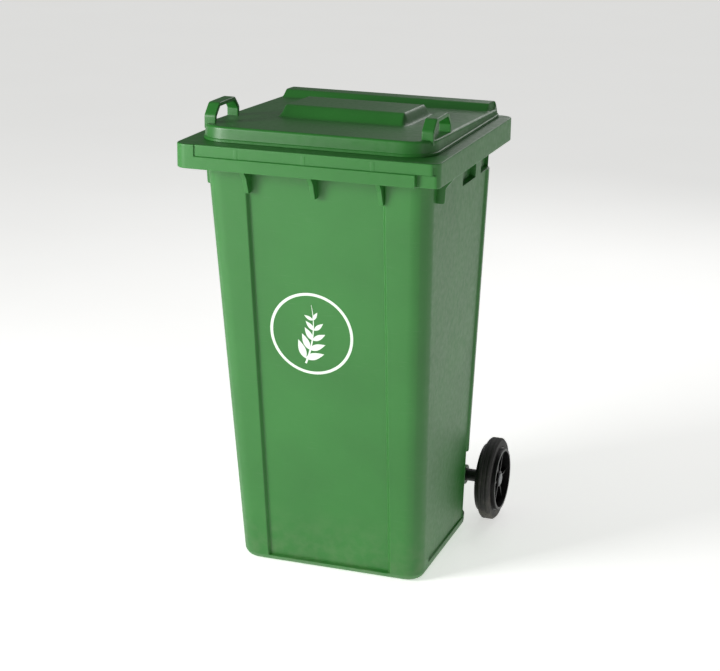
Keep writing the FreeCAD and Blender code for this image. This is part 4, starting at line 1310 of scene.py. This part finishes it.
@dataclass
class Wheel:
    """One wheel: rubber tyre, ribbed centre, cap, and the sleeve and washer beside it."""

    name: str
    side: int
    tread: tuple[float, float] = (0.248, 0.278)
    radius: float = 0.100
    rim: float = 0.078
    shoulder: float = 0.0045
    groove: float = 0.0012
    cap_radius: float = 0.015
    boss_end: float = 0.280

    def mirror(self, profile: Outline) -> Outline:
        """The profile on this wheel's side."""
        return [(self.side * along, radius) for along, radius in profile]

    def turn(self, name: str, profile: Outline, finish: bpy.types.Material,
             segments: int = 96) -> bpy.types.Object:
        """Turn a profile about the axle and name the piece for its side."""
        axle = centre_of("axle")
        bm = bmesh.new()
        lathe(bm, self.mirror(profile), Across.X, axle.y, axle.z, segments)
        return solid(f"{name}_{self.name}", bm, finish)

    def tyre(self, finish: bpy.types.Material) -> bpy.types.Object:
        """Build the tyre with rounded shoulders and two shallow running grooves."""
        start, end = self.tread
        third = (end - start) / 3
        outer = [(end, self.rim), (end, self.radius - self.shoulder), (end - self.shoulder, self.radius)]
        for middle in (end - third, start + third):
            outer += [(middle + 0.0016, self.radius), (middle + 0.0008, self.radius - self.groove),
                      (middle - 0.0008, self.radius - self.groove), (middle - 0.0016, self.radius)]
        outer += [(start + self.shoulder, self.radius), (start, self.radius - self.shoulder),
                  (start, self.rim)]
        return self.turn("tyre_rubber", soften(outer, 0.0022), finish, 128)

    def cap(self, finish: bpy.types.Material) -> bpy.types.Object:
        """Build the crowned cap over the axle's end."""
        low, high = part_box(f"hub_cap_{self.name}")
        inner, outer = sorted((abs(low.x), abs(high.x)))
        profile = [(inner, 0.0), (inner, 0.009), (self.boss_end, 0.009), (self.boss_end, self.cap_radius),
                   (outer - 0.0012, self.cap_radius), (outer - 0.0003, self.cap_radius - 0.002),
                   (outer, self.cap_radius - 0.005), (outer, 0.0)]
        return self.turn("hub_cap_face", soften(profile, 0.0009), finish, 64)

    def tube(self, node: str, name: str, bore: float, finish: bpy.types.Material) -> bpy.types.Object:
        """Build a rounded tube that fills a CAD node's box around the axle."""
        low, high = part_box(node)
        start, end = sorted((abs(low.x), abs(high.x)))
        radius = (high.z - low.z) / 2
        profile = soften([(start, bore), (end, bore), (end, radius), (start, radius)], 0.0005)
        return self.turn(name, profile, finish, 64)

    def centre(self, finish: bpy.types.Material) -> bpy.types.Object:
        """Copy the CAD wheel centre with welded, softened edges; its bores stay exact."""
        return softened_copy(f"wheel_hub_{self.name}", f"wheel_centre_{self.name}", 0.0007, finish)

    def build(self, finishes: Finishes) -> None:
        """Build every piece of the wheel and hand it over."""
        body = f"wheel_{self.name}"
        deliver(self.tyre(finishes.tyre), body, "tyre_rubber", f"tyre_{self.name}")
        deliver(self.centre(finishes.hub), body, "black_polypropylene", f"wheel_hub_{self.name}")
        deliver(self.cap(finishes.cap), body, "cap_plastic", f"hub_cap_{self.name}")
        deliver(self.tube(f"spacer_sleeve_{self.name}", "sleeve", 0.01015, finishes.sleeve), "bin",
                "sleeve_plastic", f"spacer_sleeve_{self.name}")
        deliver(self.tube(f"thrust_washer_{self.name}", "washer", 0.01015, finishes.washer), "bin",
                "washer_steel", f"thrust_washer_{self.name}")


def softened_copy(node: str, name: str, edge: float, finish: bpy.types.Material) -> bpy.types.Object:
    """Copy a CAD node, weld it, merge its flat facets and round its edges.

    Args:
        node: the CAD node.
        name: name of the copy.
        edge: size of the rounding.
        finish: its material.

    Returns:
        The copy.
    """
    bm = bmesh.new()
    bm.from_mesh(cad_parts[node].data)
    bmesh.ops.remove_doubles(bm, verts=bm.verts, dist=1e-5)
    bmesh.ops.dissolve_limit(bm, angle_limit=math.radians(1), verts=bm.verts, edges=bm.edges)
    mesh = bpy.data.meshes.new(name)
    bm.to_mesh(mesh)
    bm.free()
    mesh.materials.clear()
    mesh.materials.append(finish)
    obj = bpy.data.objects.new(name, mesh)
    bpy.context.scene.collection.objects.link(obj)
    bevel = obj.modifiers.new("Edges", "BEVEL")
    bevel.width = edge
    bevel.segments = 2
    bevel.limit_method = "ANGLE"
    bevel.angle_limit = math.radians(40)
    return shade(bake(obj))


@dataclass
class Rods:
    """The axle and the two hinge pins."""

    bevel: float = 0.0015
    groove_depth: float = 0.0025
    groove_width: float = 0.009
    groove_at: float = 0.268
    head_radius: float = 0.010
    head: float = 0.004

    def axle(self, finish: bpy.types.Material) -> bpy.types.Object:
        """Build the axle with bevelled ends and a lock groove near each."""
        low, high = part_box("axle")
        radius, end = (high.z - low.z) / 2, high.x
        near, far = self.groove_at - self.groove_width / 2, self.groove_at + self.groove_width / 2
        half = [(near, radius), (near, radius - self.groove_depth), (far, radius - self.groove_depth),
                (far, radius), (end - self.bevel, radius), (end, radius - self.bevel), (end, 0.0)]
        profile = half[-2::-1] + [(-x, r) for x, r in half] + half[-1:]
        middle = centre_of("axle")
        bm = bmesh.new()
        lathe(bm, soften(profile, 0.0003, 2), Across.X, middle.y, middle.z, 64)
        return solid("axle_rod", bm, finish)

    def pin(self, name: str, side: int, finish: bpy.types.Material) -> bpy.types.Object:
        """Build one hinge pin with a domed head."""
        low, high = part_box(f"hinge_pin_{name}")
        start, end = sorted((abs(low.x), abs(high.x)))
        radius = self.head_radius * 0.6
        profile = [(start, 0.0), (start, radius - 0.002), (start + 0.002, radius),
                   (end - self.head, radius),
                   (end - self.head, self.head_radius), (end - 0.0012, self.head_radius),
                   (end, self.head_radius - 0.003), (end, 0.0)]
        middle = centre_of(f"hinge_pin_{name}")
        bm = bmesh.new()
        lathe(bm, [(side * x, r) for x, r in soften(profile, 0.0006)], Across.X, middle.y, middle.z, 48)
        return solid(f"hinge_pin_rod_{name}", bm, finish)


# ---------------------------------------------------------------- printed emblem

@dataclass
class Emblem:
    """Generic print on the front panel: a ring with a leafy sprig inside it."""

    tub: Tub
    centre_x: float = -0.022
    centre_z: float = 0.583
    radius: float = 0.096
    stroke: float = 0.0065
    ink: float = 0.0004
    stand_off: float = 0.0001
    pairs: int = 5
    leaf: float = 0.046
    leaf_width: float = 0.0165

    def onto_panel(self, obj: bpy.types.Object) -> bpy.types.Object:
        """Lay a flat piece drawn around the origin in the XZ plane onto the tilted panel."""
        low, high = self.tub.panel_face(self.centre_z - 0.1), self.tub.panel_face(self.centre_z + 0.1)
        tilt = math.atan2(low - high, 0.2)
        place = Vector((self.centre_x, self.tub.panel_face(self.centre_z) - self.stand_off, self.centre_z))
        obj.data.transform(Matrix.Translation(place) @ Matrix.Rotation(tilt, 4, "X"))
        return obj

    def ring(self, finish: bpy.types.Material) -> bpy.types.Object:
        """Build the ring as a flat band of ink."""
        bm = bmesh.new()
        outline = soften([(-self.ink, self.radius - self.stroke), (0.0, self.radius - self.stroke),
                          (0.0, self.radius), (-self.ink, self.radius)], 0.0001, 1)
        lathe(bm, outline, Across.Y, 0.0, 0.0, 160)
        return self.onto_panel(solid("emblem_ring", bm, finish))

    def sprig(self, finish: bpy.types.Material) -> bpy.types.Object:
        """Build the leaves in pairs along a bowed stem."""
        bm = bmesh.new()
        steps = 12
        right = [(self.leaf_width / 2 * math.sin(math.pi * (step / steps) ** 0.8), self.leaf * step / steps)
                 for step in range(steps + 1)]
        plate(bm, right + [(-x, z) for x, z in right[-2:0:-1]], -self.ink, 0.0, Across.Y, 0.0001)
        obj = solid("emblem_sprig", bm, finish)
        reach = self.radius * 0.62
        grow(obj, sprig_tree(finish), Pairs=self.pairs, Foot=(-0.016, 0.0, -reach), Bow=(0.014, 0.0, 0.0),
             Tip=(0.004, 0.0, reach * 0.55), Splay=math.radians(46), Shrink=0.13)
        return self.onto_panel(obj)

    def stem(self, finish: bpy.types.Material) -> bpy.types.Object:
        """Build the stem: a tapering bowed stroke that ends in a leaf point."""
        reach = self.radius * 0.62
        foot, bow = Vector((-0.016, -reach - 0.012)), Vector((0.014, 0.0))
        tip = Vector((0.002, reach * 1.15))
        left, right = [], []
        steps = 24
        for step in range(steps + 1):
            share = step / steps
            spot = foot * (1 - share) ** 2 + bow * 2 * share * (1 - share) + tip * share ** 2
            way = ((bow - foot) * (1 - share) + (tip - bow) * share).normalized()
            width = 0.0019 * (1 - share) + 0.0004
            left.append((spot.x - way.y * width, spot.y + way.x * width))
            right.append((spot.x + way.y * width, spot.y - way.x * width))
        bm = bmesh.new()
        plate(bm, left + right[::-1], -self.ink * 0.9, 0.0, Across.Y, 0.0001)
        return self.onto_panel(solid("emblem_stem", bm, finish))


# ---------------------------------------------------------------- studio

@dataclass
class Studio:
    """Camera, lights, world and the pale floor."""

    azimuth: float = math.radians(18.948)
    elevation: float = math.radians(17.03)
    roll: float = math.radians(0.852)
    distance: float = 3.884475
    aim_height: float = 0.55
    slide: float = 0.124291
    lift: float = 0.063187
    lens: float = 91.87

    def camera(self) -> None:
        """Stand the camera in front of the bin, to its right and a little above it."""
        a, e, r = self.azimuth, self.elevation, self.roll
        back = Vector((math.sin(a) * math.cos(e), -math.cos(a) * math.cos(e), math.sin(e)))
        right = Vector((math.cos(a), math.sin(a), 0.0))
        up = back.cross(right)
        across = right * math.cos(r) + up * math.sin(r)
        upwards = up * math.cos(r) - right * math.sin(r)
        data = bpy.data.cameras.new("camera")
        data.lens = self.lens
        camera = bpy.data.objects.new("camera", data)
        bpy.context.scene.collection.objects.link(camera)
        aim = Vector((0.0, FRONT, self.aim_height))
        place = aim + back * self.distance + across * self.slide + upwards * self.lift
        turn = Matrix((across, upwards, back)).transposed().to_4x4()
        camera.matrix_world = Matrix.Translation(place) @ turn
        bpy.context.scene.camera = camera

    def lamp(self, name: str, place: tuple[float, float, float], size: float, power: float) -> None:
        """Hang a soft square lamp that faces the bin's middle."""
        data = bpy.data.lights.new(name, "AREA")
        data.size = size
        data.energy = power
        lamp = bpy.data.objects.new(name, data)
        bpy.context.scene.collection.objects.link(lamp)
        spot = Vector(place)
        way = Vector((0.0, 0.0, self.aim_height)) - spot
        lamp.matrix_world = Matrix.Translation(spot) @ way.to_track_quat("-Z", "Y").to_matrix().to_4x4()

    def floor(self, finish: bpy.types.Material) -> None:
        """Lay a wide round floor."""
        bm = bmesh.new()
        bmesh.ops.create_circle(bm, cap_ends=True, segments=96, radius=14.0)
        mesh = bpy.data.meshes.new("studio_floor")
        bm.to_mesh(mesh)
        bm.free()
        mesh.materials.append(finish)
        floor = bpy.data.objects.new("studio_floor", mesh)
        bpy.context.scene.collection.objects.link(floor)

    def build(self) -> None:
        """Set up the camera, the light and the floor."""
        scene = bpy.context.scene
        scene.view_settings.view_transform = "Standard"
        world = bpy.data.worlds.new("studio")
        world.use_nodes = True
        world.node_tree.nodes.clear()
        sky = add_node(world.node_tree, "ShaderNodeBackground",
                       {"Color": (1.0, 1.0, 1.0, 1.0), "Strength": 0.16})
        add_node(world.node_tree, "ShaderNodeOutputWorld", {"Surface": sky.outputs["Background"]})
        scene.world = world
        self.camera()
        self.lamp("key", (-2.0, -2.3, 1.5), 1.1, 88.0)
        self.lamp("fill", (2.8, -1.4, 1.1), 1.6, 5.0)
        self.lamp("back", (0.4, 2.8, 2.4), 2.0, 22.0)
        paper = StudioPaper("studio_paper", "#f4f4f2", 0.62)
        self.floor(paper.material)


def main() -> None:
    """Build the bin around the frame, piece by piece."""
    logging.basicConfig(level=logging.INFO, format="%(name)s: %(message)s")
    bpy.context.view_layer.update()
    finishes = Finishes()
    tub = Tub()
    deliver(tub.build(finishes.tub), "bin", "green_hdpe", "bin_body")
    for web in Gussets(tub).build(finishes.tub):
        deliver(web, "bin", "green_hdpe")
    rear = RearFittings(tub)
    deliver(rear.grips(finishes.tub), "bin", "green_hdpe")
    deliver(rear.carriers(finishes.tub), "bin", "green_hdpe")
    lid = Lid(tub)
    deliver(lid.build(finishes.lid), "lid", "green_hdpe_lid", "lid")
    fittings = LidFittings(lid, rear)
    for name, side in SIDES.items():
        deliver(fittings.loop(name, side, finishes.lid), "lid", "green_hdpe_lid")
    deliver(fittings.lugs(finishes.lid), "lid", "green_hdpe_lid")
    rods = Rods()
    deliver(rods.axle(finishes.axle), "bin", "galvanised_steel", "axle")
    for name, side in SIDES.items():
        deliver(rods.pin(name, side, finishes.pin), "bin", "hinge_plastic", f"hinge_pin_{name}")
        Wheel(name, side).build(finishes)
        for node, finish in ((f"lock_pin_{name}", finishes.lock), (f"lock_spring_{name}", finishes.spring)):
            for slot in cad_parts[node].material_slots:
                slot.material = finish
    emblem = Emblem(tub)
    for piece in (emblem.ring(finishes.ink), emblem.sprig(finishes.ink), emblem.stem(finishes.ink)):
        deliver(piece, "bin", "green_hdpe")
    Studio().build()


if __name__ == "__main__":
    main()
